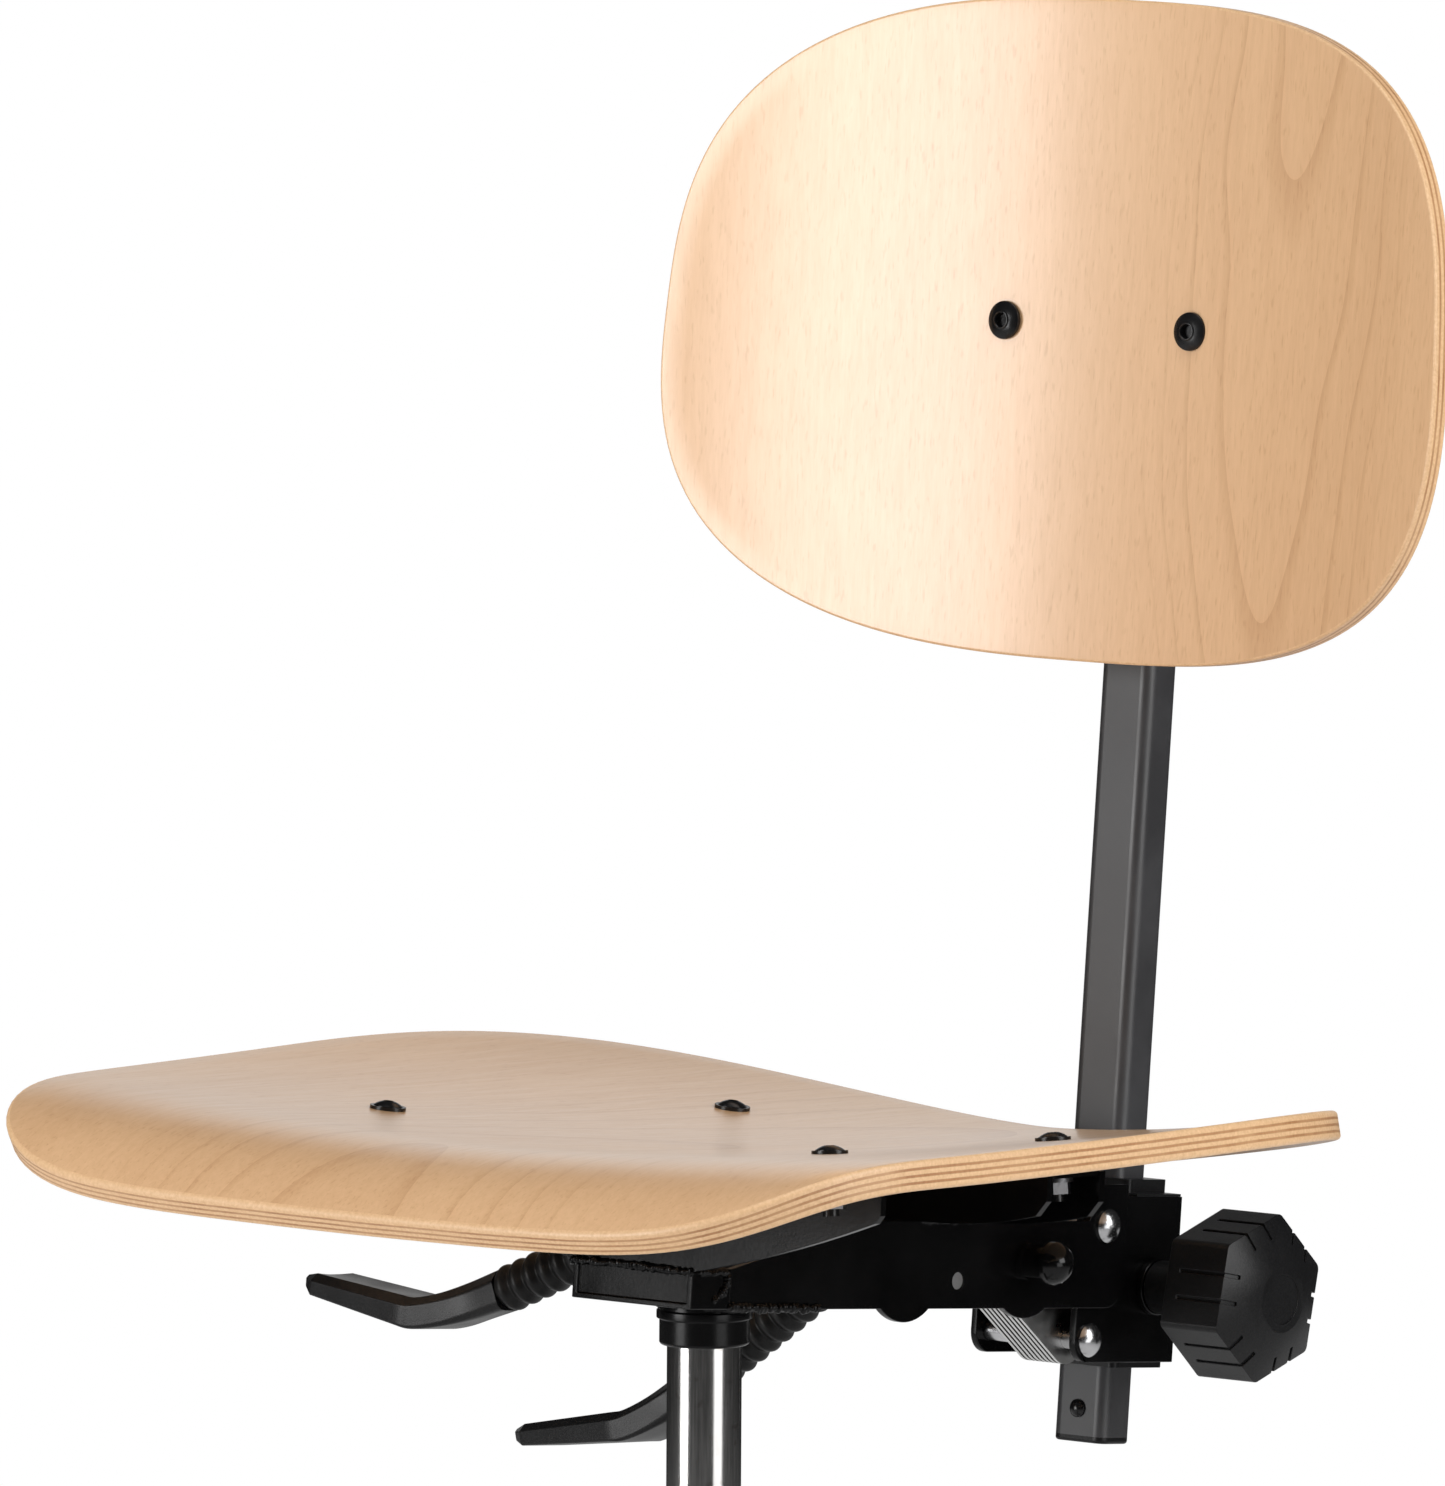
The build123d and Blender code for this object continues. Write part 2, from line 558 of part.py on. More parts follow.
def friction_washers():
    """Washers on the clamp axle between the leaves, and a spacer to each side plate."""
    washers = []
    gap = 0.1
    limits = [(-PLATE_IN + SEAT_GAP, leaf_place(0) - gap)]
    for index in range(LEAF_COUNT - 1):
        limits.append((leaf_place(index) + LEAF_THICKNESS + gap, leaf_place(index + 1) - gap))
    limits.append((leaf_place(LEAF_COUNT - 1) + LEAF_THICKNESS + gap, PLATE_IN - SEAT_GAP))
    for x_from, x_to in limits:
        ring = rod_x(17, x_from, x_to, CLAMP_AXLE)
        ring -= rod_x(AXLE_DIAMETER + 2 * FIT, x_from - 1, x_to + 1, CLAMP_AXLE)
        washers.append(mount_on_frame(ring))
    return washers


# ---------------------------------------------------------------- back bracket and bar
def bracket_plate(side):
    """One plate of the back bracket, inside the frame plate."""
    low, high = sorted((side * BRACKET_IN, side * BRACKET_OUT))
    middle = ((BRACKET_FRONT + BRACKET_REAR) / 2, (BRACKET_BOTTOM + BRACKET_TOP) / 2)
    blank = Rectangle(BRACKET_REAR - BRACKET_FRONT, BRACKET_TOP - BRACKET_BOTTOM)
    corners = blank.vertices().group_by(Axis.X)[0]
    face = Plane.YZ * Pos(*middle) * fillet(corners, 8)
    plate = Pos(low, 0, 0) * extrude(face, high - low)
    for place in (PIVOT, LOWER_AXLE):
        plate -= rod_x(AXLE_DIAMETER + 2 * FIT, low - 1, high + 1, place)
    if side > 0:
        plate -= rod_x(SCREW_DIAMETER + 2 * FIT, low - 1, high + 1, (BAR_CENTRE, KNOB_HEIGHT))
    return mount_on_frame(plate)


def bush_sleeve(sleeve_from, sleeve_to):
    """Plastic block round the bar, between the bracket plates."""
    block_size = (2 * (BRACKET_IN - SEAT_GAP), BAR_DEPTH + 6, sleeve_to - sleeve_from)
    return Pos(0, BAR_CENTRE - 1.0, (sleeve_from + sleeve_to) / 2) * Box(*block_size)


def guided(bush):
    """A bush with its bore for the bar."""
    bore = (BAR_WIDTH + 2 * BUSH_CLEARANCE, BAR_DEPTH + 2 * BUSH_CLEARANCE)
    hole = extrude(RectangleRounded(*bore, BAR_CORNER + BUSH_CLEARANCE), 200)
    return mount_on_frame(bush - Pos(0, BAR_CENTRE, -60) * hole)


def bush_top():
    """Upper guide: a sleeve, a thin flange on the bracket plates and a collar round the bar."""
    low = BRACKET_TOP + SEAT_GAP
    high = low + BUSH_FLANGE_SHEET
    front = BAR_CENTRE - BAR_DEPTH / 2 - 4
    flange = block((-BRACKET_OUT, BRACKET_OUT), (front, BRACKET_REAR - 1), (low, high))
    collar = extrude(RectangleRounded(*BUSH_COLLAR, 2), BUSH_COLLAR_RISE)
    shape = bush_sleeve(BRACKET_TOP - 16, low) + flange
    return guided(shape + Pos(0, BAR_CENTRE + 1.2, high) * collar)


def bush_bottom():
    """Lower guide: a sleeve with a thin foot under it."""
    high = BRACKET_BOTTOM - SEAT_GAP
    foot = extrude(RectangleRounded(2 * (BRACKET_IN - 1), BAR_DEPTH + 12, 3), -2.4)
    return guided(bush_sleeve(high, BRACKET_BOTTOM + 16) + Pos(0, BAR_CENTRE - 1.0, high) * foot)


def clamp_boss():
    """Threaded boss welded on the left bracket plate, clear of the frame plate."""
    place = (BAR_CENTRE, KNOB_HEIGHT)
    boss = rod_x(NECK_DIAMETER + 1.2, BRACKET_OUT, BRACKET_OUT + BOSS_HEIGHT, place)
    return mount_on_frame(boss - rod_x(SCREW_DIAMETER + 2 * FIT, 0, 60, place))


def clamp_pad():
    """Brass pad that the screw presses on the bar, with a blind seat for the screw tip."""
    place = (BAR_CENTRE, KNOB_HEIGHT)
    face = BAR_WIDTH / 2 + BUSH_CLEARANCE
    pad = rod_x(14, face, face + 4, place)
    return mount_on_frame(pad - rod_x(SCREW_DIAMETER - 2 + 2 * FIT, face + 2, face + 5, place))


def clamp_screw():
    """Threaded stud of the knob, with a thinner tip in the pad."""
    place = (BAR_CENTRE, KNOB_HEIGHT)
    tip = BAR_WIDTH / 2 + BUSH_CLEARANCE + 2 + FIT
    shoulder = BAR_WIDTH / 2 + BUSH_CLEARANCE + 4 + FIT
    stud = rod_x(SCREW_DIAMETER, shoulder, KNOB_BACK + 15, place)
    return mount_on_frame(stud + rod_x(SCREW_DIAMETER - 2, tip, shoulder + 1, place))


def rounded_hexagon(corner_radius, radius):
    """Hexagon with its corners at corner_radius from the centre, rounded by radius."""
    return fillet(RegularPolygon(corner_radius, 6).vertices(), radius)


def clamp_knob():
    """Six-sided knob with a crowned end, paired grooves and a bare round recess."""
    rim = Pos(0, 0, KNOB_RIM) * rounded_hexagon(KNOB_CORNER_RADIUS, 3)
    crown = Pos(0, 0, KNOB_RIM + KNOB_CROWN) * rounded_hexagon(14.5, 11.5)
    body = extrude(rounded_hexagon(KNOB_CORNER_RADIUS, 3), KNOB_RIM) + loft([rim, crown])
    flat = KNOB_CORNER_RADIUS * cos(pi / 6)
    slope = degrees(atan2(KNOB_CROWN, flat - 14.5 * cos(pi / 6)))
    for side in range(6):
        turn = Rot(0, 0, side * 60 + 30)
        for offset in (-5.1, 5.1):
            body -= turn * Pos(flat, offset, 5.6 + 15) * Box(2.2, 1.6, 30)
            cut = Pos(flat, offset, KNOB_RIM) * Rot(0, slope, 0) * Pos(-3.5, 0, 0) * Box(7, 1.6, 2.2)
            body -= turn * cut
    body -= Pos(0, 0, KNOB_RIM + KNOB_CROWN) * Cylinder(9.6, 1.2)
    neck_length = KNOB_BACK - (BRACKET_OUT + BOSS_HEIGHT) - 0.4
    body += Pos(0, 0, -neck_length / 2) * Cylinder(NECK_DIAMETER / 2, neck_length)
    body -= Pos(0, 0, 15 / 2 - neck_length / 2) * Cylinder(
        SCREW_DIAMETER / 2 + FIT, neck_length + 15 + 0.1
    )
    turned = Rot(0, 90, 0) * Rot(0, 0, KNOB_TURN) * body
    return mount_on_frame(Pos(KNOB_BACK, BAR_CENTRE, KNOB_HEIGHT) * turned)


def back_bar():
    """Rectangular upright with rounded corners, open inside."""
    outer = RectangleRounded(BAR_WIDTH, BAR_DEPTH, BAR_CORNER)
    inner = RectangleRounded(
        BAR_WIDTH - 2 * BAR_WALL, BAR_DEPTH - 2 * BAR_WALL, BAR_CORNER - BAR_WALL
    )
    bottom = BAR_BOTTOM + 2.5
    bar = Pos(0, BAR_CENTRE, bottom) * extrude(outer - inner, BAR_TOP - bottom)
    hole = Pos(0, BAR_CENTRE - BAR_DEPTH / 2, BAR_BOTTOM + 12.9) * Rot(90, 0, 0) * Cylinder(2.5, 8)
    return mount_on_frame(bar - hole)


def bar_end_cap(bottom_end):
    """Plastic plug with a thin rim, in the lower or upper end of the bar."""
    inner = RectangleRounded(
        BAR_WIDTH - 2 * BAR_WALL - 2 * FIT, BAR_DEPTH - 2 * BAR_WALL - 2 * FIT, BAR_CORNER - BAR_WALL
    )
    rim = extrude(RectangleRounded(BAR_WIDTH, BAR_DEPTH, BAR_CORNER), 2.5)
    outside = rim.faces().sort_by(Axis.Z)[0].edges()
    plug = fillet(outside, 1.2) + Pos(0, 0, 2.5) * extrude(inner, 5)
    if bottom_end:
        return mount_on_frame(Pos(0, BAR_CENTRE, BAR_BOTTOM) * plug)
    return mount_on_frame(Pos(0, BAR_CENTRE, BAR_TOP + 2.5) * Rot(180, 0, 0) * plug)


def stop_screw():
    """Small domed screw on the bar's face; it stops the bar leaving its guide."""
    front = BAR_CENTRE - BAR_DEPTH / 2
    head = dome_head(7, 2.6, 0.8)
    stem = Pos(0, 0, -2) * Cylinder(2.5 - FIT, 4)
    return mount_on_frame(Pos(0, front, BAR_BOTTOM + 12.9) * Rot(90, 0, 0) * (head + stem))


# ---------------------------------------------------------------- seat
def seat_height(x, u):
    """w of the seat's top surface."""
    side = abs(x) / 200
    back = u / 200
    level = SEAT_LEVEL + SEAT_RISE * back + SEAT_SAG * back ** 2
    dish = (DISH_DEPTH + DISH_GAIN * back - DISH_EASE * back ** 2) * side ** DISH_POWER
    fall = FALL_DEPTH * (max(0.0, FALL_START - u) / 80) ** FALL_POWER
    return level + dish - fall


def seat_slopes(x, u):
    """Rise of the seat surface per mm sideways and rearwards."""
    step = 0.5
    along_x = seat_height(x + step, u) - seat_height(x - step, u)
    along_u = seat_height(x, u + step) - seat_height(x, u - step)
    return along_x, along_u


def below_seat(x, u, depth):
    """The point that lies depth under the seat surface, square to it."""
    slope_x, slope_u = seat_slopes(x, u)
    scale = depth / sqrt(1 + slope_x ** 2 + slope_u ** 2)
    return x + slope_x * scale, u + slope_u * scale, seat_height(x, u) - scale


def square_to_seat(x, u, depth=0.0):
    """Place on the seat surface, or below it, with +Z square to the surface."""
    slope_x, slope_u = seat_slopes(x, u)
    lean = Rot(degrees(atan2(slope_u, 1)), -degrees(atan2(slope_x, 1)), 0)
    return Pos(x, u, seat_height(x, u)) * lean * Pos(0, 0, -depth)


def under_seat(depth):
    """Everything down to a floor below the surface that lies depth under the seat's top."""
    reach = (SEAT_HALF_WIDTH + SEAT_MARGIN, max(SEAT_TO_FRONT, SEAT_TO_REAR) + SEAT_MARGIN)
    rows = 19
    grid = []
    for row in range(rows):
        u = SEAT_CENTRE - reach[1] + 2 * reach[1] * row / (rows - 1)
        line = []
        for column in range(rows):
            x = -reach[0] + 2 * reach[0] * column / (rows - 1)
            line.append(below_seat(x, u, depth))
        grid.append(line)
    surface = Face.make_surface_from_array_of_points(grid, tol=0.02, max_deg=3)
    return extrude(surface, 200, dir=(0, 0, -1))


def seat_layer(plan, depth, thickness):
    """A slab under the seat surface, depth below it and thickness deep, cut to a plan."""
    column = under_seat(depth) & (Pos(0, 0, -60) * extrude(plan, 260))
    return column - under_seat(depth + thickness)


def trim_loop(outline_points, level):
    """Where the lines square to the seat surface, through its outline, cross one level."""
    crossings = []
    for x, u in outline_points:
        slope_x, slope_u = seat_slopes(x, u)
        drop = seat_height(x, u) - level
        crossings.append((x + slope_x * drop, u + slope_u * drop, level))
    return make_face(Spline(*crossings, periodic=True))


def screw_places():
    places = []
    for half, u in (FRONT_SCREWS, REAR_SCREWS):
        places += [(-half, u), (half, u)]
    return places


def drill(shape, places):
    """Screw holes square to the seat surface."""
    for x, u in places:
        shape -= square_to_seat(x, u, PLY) * Cylinder(SEAT_SCREW / 2 + 0.3, 4 * PLY)
    return shape


def seat_shell():
    """Moulded plywood seat, dished to the sides, its edge trimmed square to its surface."""
    points = superellipse_points(
        SEAT_HALF_WIDTH, SEAT_TO_FRONT, SEAT_TO_REAR,
        SEAT_FRONT_ROUNDNESS, SEAT_REAR_ROUNDNESS, SEAT_FLARE,
    )
    outline = [(x, u + SEAT_CENTRE) for x, u in points]
    above = seat_height(SEAT_HALF_WIDTH, SEAT_CENTRE + SEAT_TO_REAR) + PLY
    below = seat_height(0, SEAT_CENTRE - SEAT_TO_FRONT) - 2 * PLY
    trimmed = loft([trim_loop(outline, below), trim_loop(outline, above)], ruled=True)
    shell = (under_seat(0) & trimmed) - under_seat(PLY)
    return mount_on_frame(drill(shell, screw_places()))


def seat_screws():
    """Four flanged button-head screws through the seat and its arms."""
    screws = []
    length = PLY + PLATE + 9
    for x, u in screw_places():
        shaft = Pos(0, 0, -length / 2) * Cylinder(SEAT_SCREW / 2, length)
        screw = button_head(SCREW_HEAD, 3.3) + shaft
        screws.append(mount_on_frame(square_to_seat(x, u, -HEAD_LIFT) * screw))
    return screws


def seat_nuts():
    """Flanged lock nuts under the seat arms."""
    nuts = []
    for x, u in screw_places():
        flange = Pos(0, 0, -0.8) * Cylinder(6.6, 1.6)
        nut = flange + extrude(RegularPolygon(5.77, 6), -6)
        nut -= Cylinder(SEAT_SCREW / 2 + FIT, 20)
        below = PLY + PLATE + SEAT_GAP + HEAD_LIFT
        nuts.append(mount_on_frame(square_to_seat(x, u, below) * nut))
    return nuts


def arm_web(profile, u_rear, half_width):
    """Upright web under the seat: one half profile in (x, w), mirrored, up to mid flange."""
    half = Plane.XZ * make_face(profile)
    web = Pos(0, u_rear, 0) * extrude(half, PLATE)
    web += mirror(web, about=Plane.YZ)
    plan = Pos(0, u_rear - PLATE / 2) * Rectangle(2 * half_width + 10, PLATE + 10)
    top = PLY + SEAT_GAP + PLATE / 2
    room = seat_layer(plan, top, WEB_ROOM)
    return web & room


def front_seat_wing():
    """Folded arm: a flange under the seat and an upright web that rises to its tips."""
    rear = BOX_FRONT + PLATE
    blank = Rectangle(2 * WING_HALF_WIDTH, rear - WING_FRONT)
    plan = Pos(0, (rear + WING_FRONT) / 2) * fillet(blank.vertices().group_by(Axis.Y)[0], 12)
    flange = seat_layer(plan, PLY + SEAT_GAP, PLATE)
    tip = seat_height(WING_HALF_WIDTH, rear) - PLY - WING_TIP_DEPTH
    foot = BOX_TOP + SEAT_GAP
    end = WING_HALF_WIDTH
    rise = tip - foot
    lower_edge = Spline(
        (PLATE_OUT, foot), (0.5 * end, foot + 0.28 * rise), (0.88 * end, foot + 0.83 * rise),
        (end - 2.3, tip),
    )
    profile = (
        Line((0, foot), (PLATE_OUT, foot))
        + lower_edge
        + Polyline((end - 2.3, tip), (end, tip + 3), (end, tip + 30), (0, tip + 30), (0, foot))
    )
    wing = flange + arm_web(profile, rear, end)
    return mount_on_frame(drill(wing, screw_places()[:2]))


def rear_seat_channel():
    """Cross channel under the rear screws, deeper between the side plates than at its tips."""
    middle = REAR_SCREWS[1]
    end = CHANNEL_HALF_WIDTH
    blank = Rectangle(2 * end, CHANNEL_WIDTH)
    plan = Pos(0, middle) * fillet(blank.vertices(), 6)
    channel = seat_layer(plan, PLY + SEAT_GAP, PLATE)
    tip = seat_height(end, middle) - PLY - CHANNEL_TIP_DEPTH
    foot = FRAME_TOP + SEAT_GAP
    inner = PLATE_OUT + 2
    lower_edge = Spline((inner, foot), (0.6 * end, foot + 0.15 * (tip - foot)), (end - 4.8, tip))
    profile = (
        Line((0, foot), (inner, foot))
        + lower_edge
        + Polyline((end - 4.8, tip), (end, tip + 5.8), (end, tip + 30), (0, tip + 30), (0, foot))
    )
    for rear in (middle - CHANNEL_WIDTH / 2 + PLATE, middle + CHANNEL_WIDTH / 2):
        channel += arm_web(profile, rear, end)
    return mount_on_frame(drill(channel, screw_places()[2:]))


# ---------------------------------------------------------------- backrest
def back_arc(depth, x):
    """u of the panel's surface at one x, depth behind its front face."""
    return BACK_FACE - BACK_RADIUS + sqrt((BACK_RADIUS + depth) ** 2 - x ** 2)


def back_layer(depth, thickness, half_width):
    """A curved slab parallel to the backrest's front face."""
    near = BACK_RADIUS + depth
    far = near + thickness
    ring = Circle(far) - Circle(near)
    window = Pos(0, BACK_RADIUS) * Rectangle(2 * half_width, 2 * BACK_RADIUS)
    return Pos(0, BACK_FACE - BACK_RADIUS, BACK_CENTRE - 200) * extrude(ring & window, 400)


def backrest_shell():
    """Plywood panel bent round the sitter, with a rounded outline."""
    points = superellipse_points(
        BACK_HALF_WIDTH, BACK_HALF_HEIGHT, BACK_HALF_HEIGHT,
        BACK_ROUNDNESS, BACK_ROUNDNESS, -BACK_NARROWING,
    )
    face = Plane.XZ * make_face(Spline(*points, periodic=True))
    stamp = Pos(0, BACK_FACE + 60, BACK_CENTRE) * extrude(face, 160)
    shell = back_layer(0, BACK_PLY, BACK_HALF_WIDTH + 20) & stamp
    for side in (-1, 1):
        shell -= bolt_place(side, 0) * Cylinder(SLEEVE_DIAMETER / 2 + 0.3, 60)
    return mount_on_frame(shell)


def bolt_place(side, depth):
    """Place on a bolt's axis, +Z towards the sitter, depth behind the front face."""
    lean = side * degrees(atan2(BACK_BOLTS, BACK_RADIUS))
    x = side * BACK_BOLTS
    return Pos(x, back_arc(0, x), BACK_CENTRE) * Rot(90, 0, 0) * Rot(0, -lean, 0) * Pos(0, 0, -depth)


def backrest_bolts():
    """Two domed sleeve nuts with a round socket, from the front of the panel."""
    bolts = []
    for side in (-1, 1):
        head = dome_head(BOLT_HEAD, 3.2, 1.0)
        sleeve = Pos(0, 0, -9) * Cylinder(SLEEVE_DIAMETER / 2, 18)
        socket = Pos(0, 0, 3) * Cylinder(3.6, 1.6)
        hexagon = Pos(0, 0, -1) * extrude(RegularPolygon(2.3, 6), 6)
        bolts.append(mount_on_frame(bolt_place(side, -HEAD_LIFT) * (head + sleeve - socket - hexagon)))
    return bolts


def backrest_nuts():
    """Flanged nuts on the bolts' studs, behind the carrier."""
    nuts = []
    for side in (-1, 1):
        flange = Pos(0, 0, -0.8) * Cylinder(8, 1.6)
        nut = flange + extrude(RegularPolygon(7.2, 6), -6.5)
        nut -= Cylinder(SLEEVE_DIAMETER / 2 + FIT, 20)
        nuts.append(mount_on_frame(bolt_place(side, BACK_PLY + PLATE + 0.4) * nut))
    return nuts


def back_carrier():
    """Pressed carrier: a curved plate behind the panel, and a block welded to the bar."""
    half = BACK_BOLTS + 16
    plate = back_layer(BACK_PLY + SEAT_GAP, PLATE, half)
    window = Pos(0, 0, BACK_CENTRE) * Rot(90, 0, 0) * extrude(
        RectangleRounded(2 * half - 2, CARRIER_HEIGHT, 8), 600, both=True
    )
    plate = plate & window
    for side in (-1, 1):
        plate -= bolt_place(side, 0) * Cylinder(SLEEVE_DIAMETER / 2 + 0.3, 80)
    front = back_arc(BACK_PLY + PLATE - 0.5, 0)
    rear = BAR_CENTRE - BAR_DEPTH / 2 - SEAT_GAP
    tall = (BACK_CENTRE - CARRIER_HEIGHT / 2 + 4, BACK_CENTRE + CARRIER_HEIGHT / 2 - 4)
    spacer = block((-BAR_WIDTH / 2, BAR_WIDTH / 2), (front, rear), tall)
    inside = BAR_WIDTH / 2 - PLATE
    spacer -= block((-inside, inside), (front + 1, rear + 1), (0, 2 * BAR_TOP))
    return mount_on_frame(plate + spacer)


# ---------------------------------------------------------------- levers
def bellows(ribs):
    """Ribbed rubber sleeve along +X from its collar, with its bore."""
    crest = BELLOWS_CREST / 2
    root = BELLOWS_ROOT / 2
    stations = [(0.0, crest - 0.6)]
    for rib in range(ribs):
        start = 1.0 + rib * RIB_PITCH
        stations += [
            (start, root), (start + 0.32 * RIB_PITCH, crest),
            (start + 0.62 * RIB_PITCH, crest), (start + 0.9 * RIB_PITCH, root),
        ]
    sections = [Plane.YZ.offset(x) * Circle(radius) for x, radius in stations]
    length = stations[-1][0]
    body = loft(sections, ruled=True)
    return body - Pos(length / 2, 0, 0) * Rot(0, 90, 0) * Cylinder(LEVER_ROD / 2 + 0.3, length + 2)


def bellows_length(ribs):
    return 1.0 + (ribs - 1) * RIB_PITCH + 0.9 * RIB_PITCH


def handle_section(x, z, width, height, radius, lean):
    """Rounded rectangle across the handle, tipped up by lean degrees."""
    normal = (cos(radians(lean)), 0, sin(radians(lean)))
    plane = Plane(origin=(x, 0, z), z_dir=normal, x_dir=(0, 1, 0))
    return plane * RectangleRounded(width, height, radius)


def lever_handle():
    """Paddle handle along +X: a squarish neck, an elbow and a flat faceted paddle."""
    bend = HANDLE_ELBOW
    start = (NECK_LENGTH + 11, 5.2)
    along = (cos(radians(bend)), sin(radians(bend)))

    def on_paddle(share, rise, width, height, radius):
        reach = share * PADDLE_LENGTH
        x = start[0] + reach * along[0]
        return handle_section(x, start[1] + reach * along[1] + rise, width, height, radius, bend)

    neck_end = handle_section(0.82 * NECK_LENGTH, 0.4, 22.0, 13.0, 3.8, bend * 0.3)
    paddle_start = on_paddle(0, 0, PADDLE_WIDTH, PADDLE_HEIGHT, 2.4)
    tip_start = on_paddle(0.9, 0.6, PADDLE_WIDTH - 1.5, PADDLE_TIP_HEIGHT, 2.2)
    tip_end = on_paddle(1, 0.9, PADDLE_WIDTH - 8, PADDLE_TIP_HEIGHT - 3.6, 1.6)
    handle = loft([
        handle_section(0, 0, NECK_SIDE, NECK_SIDE, 6.0, 0),
        handle_section(0.45 * NECK_LENGTH, 0, NECK_SIDE + 1, NECK_SIDE - 1.5, 5.0, 0),
        neck_end,
    ])
    elbow = handle_section(NECK_LENGTH + 5, 2.2, 27.0, 12.2, 3.0, bend * 0.75)
    handle += loft([neck_end, elbow, paddle_start])
    handle += loft([paddle_start, tip_start], ruled=True)
    handle += loft([tip_start, tip_end], ruled=True)
    return handle - Pos(HANDLE_SOCKET / 2 - 0.5, 0, 0) * Rot(0, 90, 0) * Cylinder(
        LEVER_ROD / 2 + FIT, HANDLE_SOCKET + 1
    )


def lever_route(slope, inner, height, bend_x, ribs, bellows_start):
    """Distances of one lever, measured outwards from the mechanism's middle."""
    bellows_end = bellows_start + bellows_length(ribs)
    return {"slope": slope, "inner": inner, "height": height, "bend": bend_x,
            "start": bellows_start, "end": bellows_end}


def outward(route, u, along):
    """Place on the sloping part of a lever, +X outwards along the rod, on the -X side."""
    bend = Pos(-route["bend"], u, route["height"])
    return bend * Rot(0, 0, 180) * Rot(0, route["slope"], 0) * Pos(along, 0, 0)


def lever_rod(route, u):
    """Bent steel rod: level inside the mechanism, sloping down outside it."""
    start = (-route["inner"], u, route["height"])
    knee = (-route["bend"], u, route["height"])
    end = outward(route, u, route["end"] + HANDLE_SOCKET - 1).position
    path = FilletPolyline(start, knee, end, radius=LEVER_BEND)
    return sweep(Plane(origin=start, z_dir=(-1, 0, 0)) * Circle(LEVER_ROD / 2), path=path)


GAS_ROUTE = lever_route(
    GAS_LEVER_SLOPE, -6.0, GAS_LEVER_HEIGHT, PLATE_OUT + GAS_KNEE, GAS_BELLOWS_RIBS, 2.0
)
TILT_ROD_START = PLATE_OUT + TONGUE_REACH + 1.5
TILT_ROUTE = lever_route(
    TILT_LEVER_SLOPE, TILT_ROD_START, CLAMP_AXLE[1], TILT_ROD_START + KNEE_ROOM * LEVER_BEND,
    TILT_BELLOWS_RIBS, 1.5,
)


def gas_lever_rod():
    """Rod over the valve button, with the eye it pivots on."""
    centre = gas_pivot()
    rod = lever_rod(GAS_ROUTE, GAS_LEVER_U) + centre * Cylinder(5.5, 9)
    return mount_on_frame(rod - centre * Cylinder(GAS_PIN / 2 + FIT, 30))


def gas_pivot():
    """Place of the gas lever's pin, +Z along the pin."""
    return Pos(GAS_PIVOT_X, GAS_LEVER_U, GAS_LEVER_HEIGHT) * Rot(90, 0, 0)


def gas_lever_bracket():
    """Small welded ears on the socket box that hold the lever's pin."""
    foot = BOX_TOP + SEAT_GAP
    along = (GAS_PIVOT_X - 5.5, GAS_PIVOT_X + 5.5)
    ears = block(along, (GAS_LEVER_U - 7.3, GAS_LEVER_U + 7.3), (foot, foot + 2.0))
    for side in (-1, 1):
        limits = sorted((GAS_LEVER_U + side * 4.8, GAS_LEVER_U + side * 7.3))
        ears += block(along, limits, (foot, GAS_LEVER_HEIGHT + 5))
    return mount_on_frame(ears - gas_pivot() * Cylinder(GAS_PIN / 2 + FIT, 30))


def gas_lever_pin():
    return mount_on_frame(gas_pivot() * chamfer(Cylinder(GAS_PIN / 2, 17).edges(), 0.4))


def gas_lever_bellows():
    place = outward(GAS_ROUTE, GAS_LEVER_U, GAS_ROUTE["start"])
    return mount_on_frame(place * bellows(GAS_BELLOWS_RIBS))


def gas_lever_handle():
    place = outward(GAS_ROUTE, GAS_LEVER_U, GAS_ROUTE["end"] + SEAT_GAP)
    return mount_on_frame(place * lever_handle())


def tilt_lever_rod():
    """Rod of the tilt lock, with a forked cam hub that turns on its pin."""
    centre = Pos(-TILT_PIVOT_X, CLAMP_AXLE[0], CLAMP_AXLE[1]) * Rot(90, 0, 0)
    rod = lever_rod(TILT_ROUTE, CLAMP_AXLE[0]) + centre * Cylinder(CAM_RADIUS, 13)
    half = TONGUE / 2 + 0.2
    fork = block(
        (-PLATE_OUT - TONGUE_REACH - FORK_ROOM, -PLATE_OUT),
        (CLAMP_AXLE[0] - half, CLAMP_AXLE[0] + half), (0, 90),
    )
    return mount_on_frame(rod - fork - centre * Cylinder(CAM_PIN / 2 + FIT, 30))


def tilt_lever_pin():
    pin = Rot(90, 0, 0) * Cylinder(CAM_PIN / 2, 15)
    place = Pos(-TILT_PIVOT_X, CLAMP_AXLE[0], CLAMP_AXLE[1])
    return mount_on_frame(place * chamfer(pin.edges(), 0.5))


def tilt_lever_bellows():
    place = outward(TILT_ROUTE, CLAMP_AXLE[0], TILT_ROUTE["start"])
    return mount_on_frame(place * bellows(TILT_BELLOWS_RIBS))


def tilt_lever_handle():
    place = outward(TILT_ROUTE, CLAMP_AXLE[0], TILT_ROUTE["end"] + SEAT_GAP)
    return mount_on_frame(place * lever_handle())


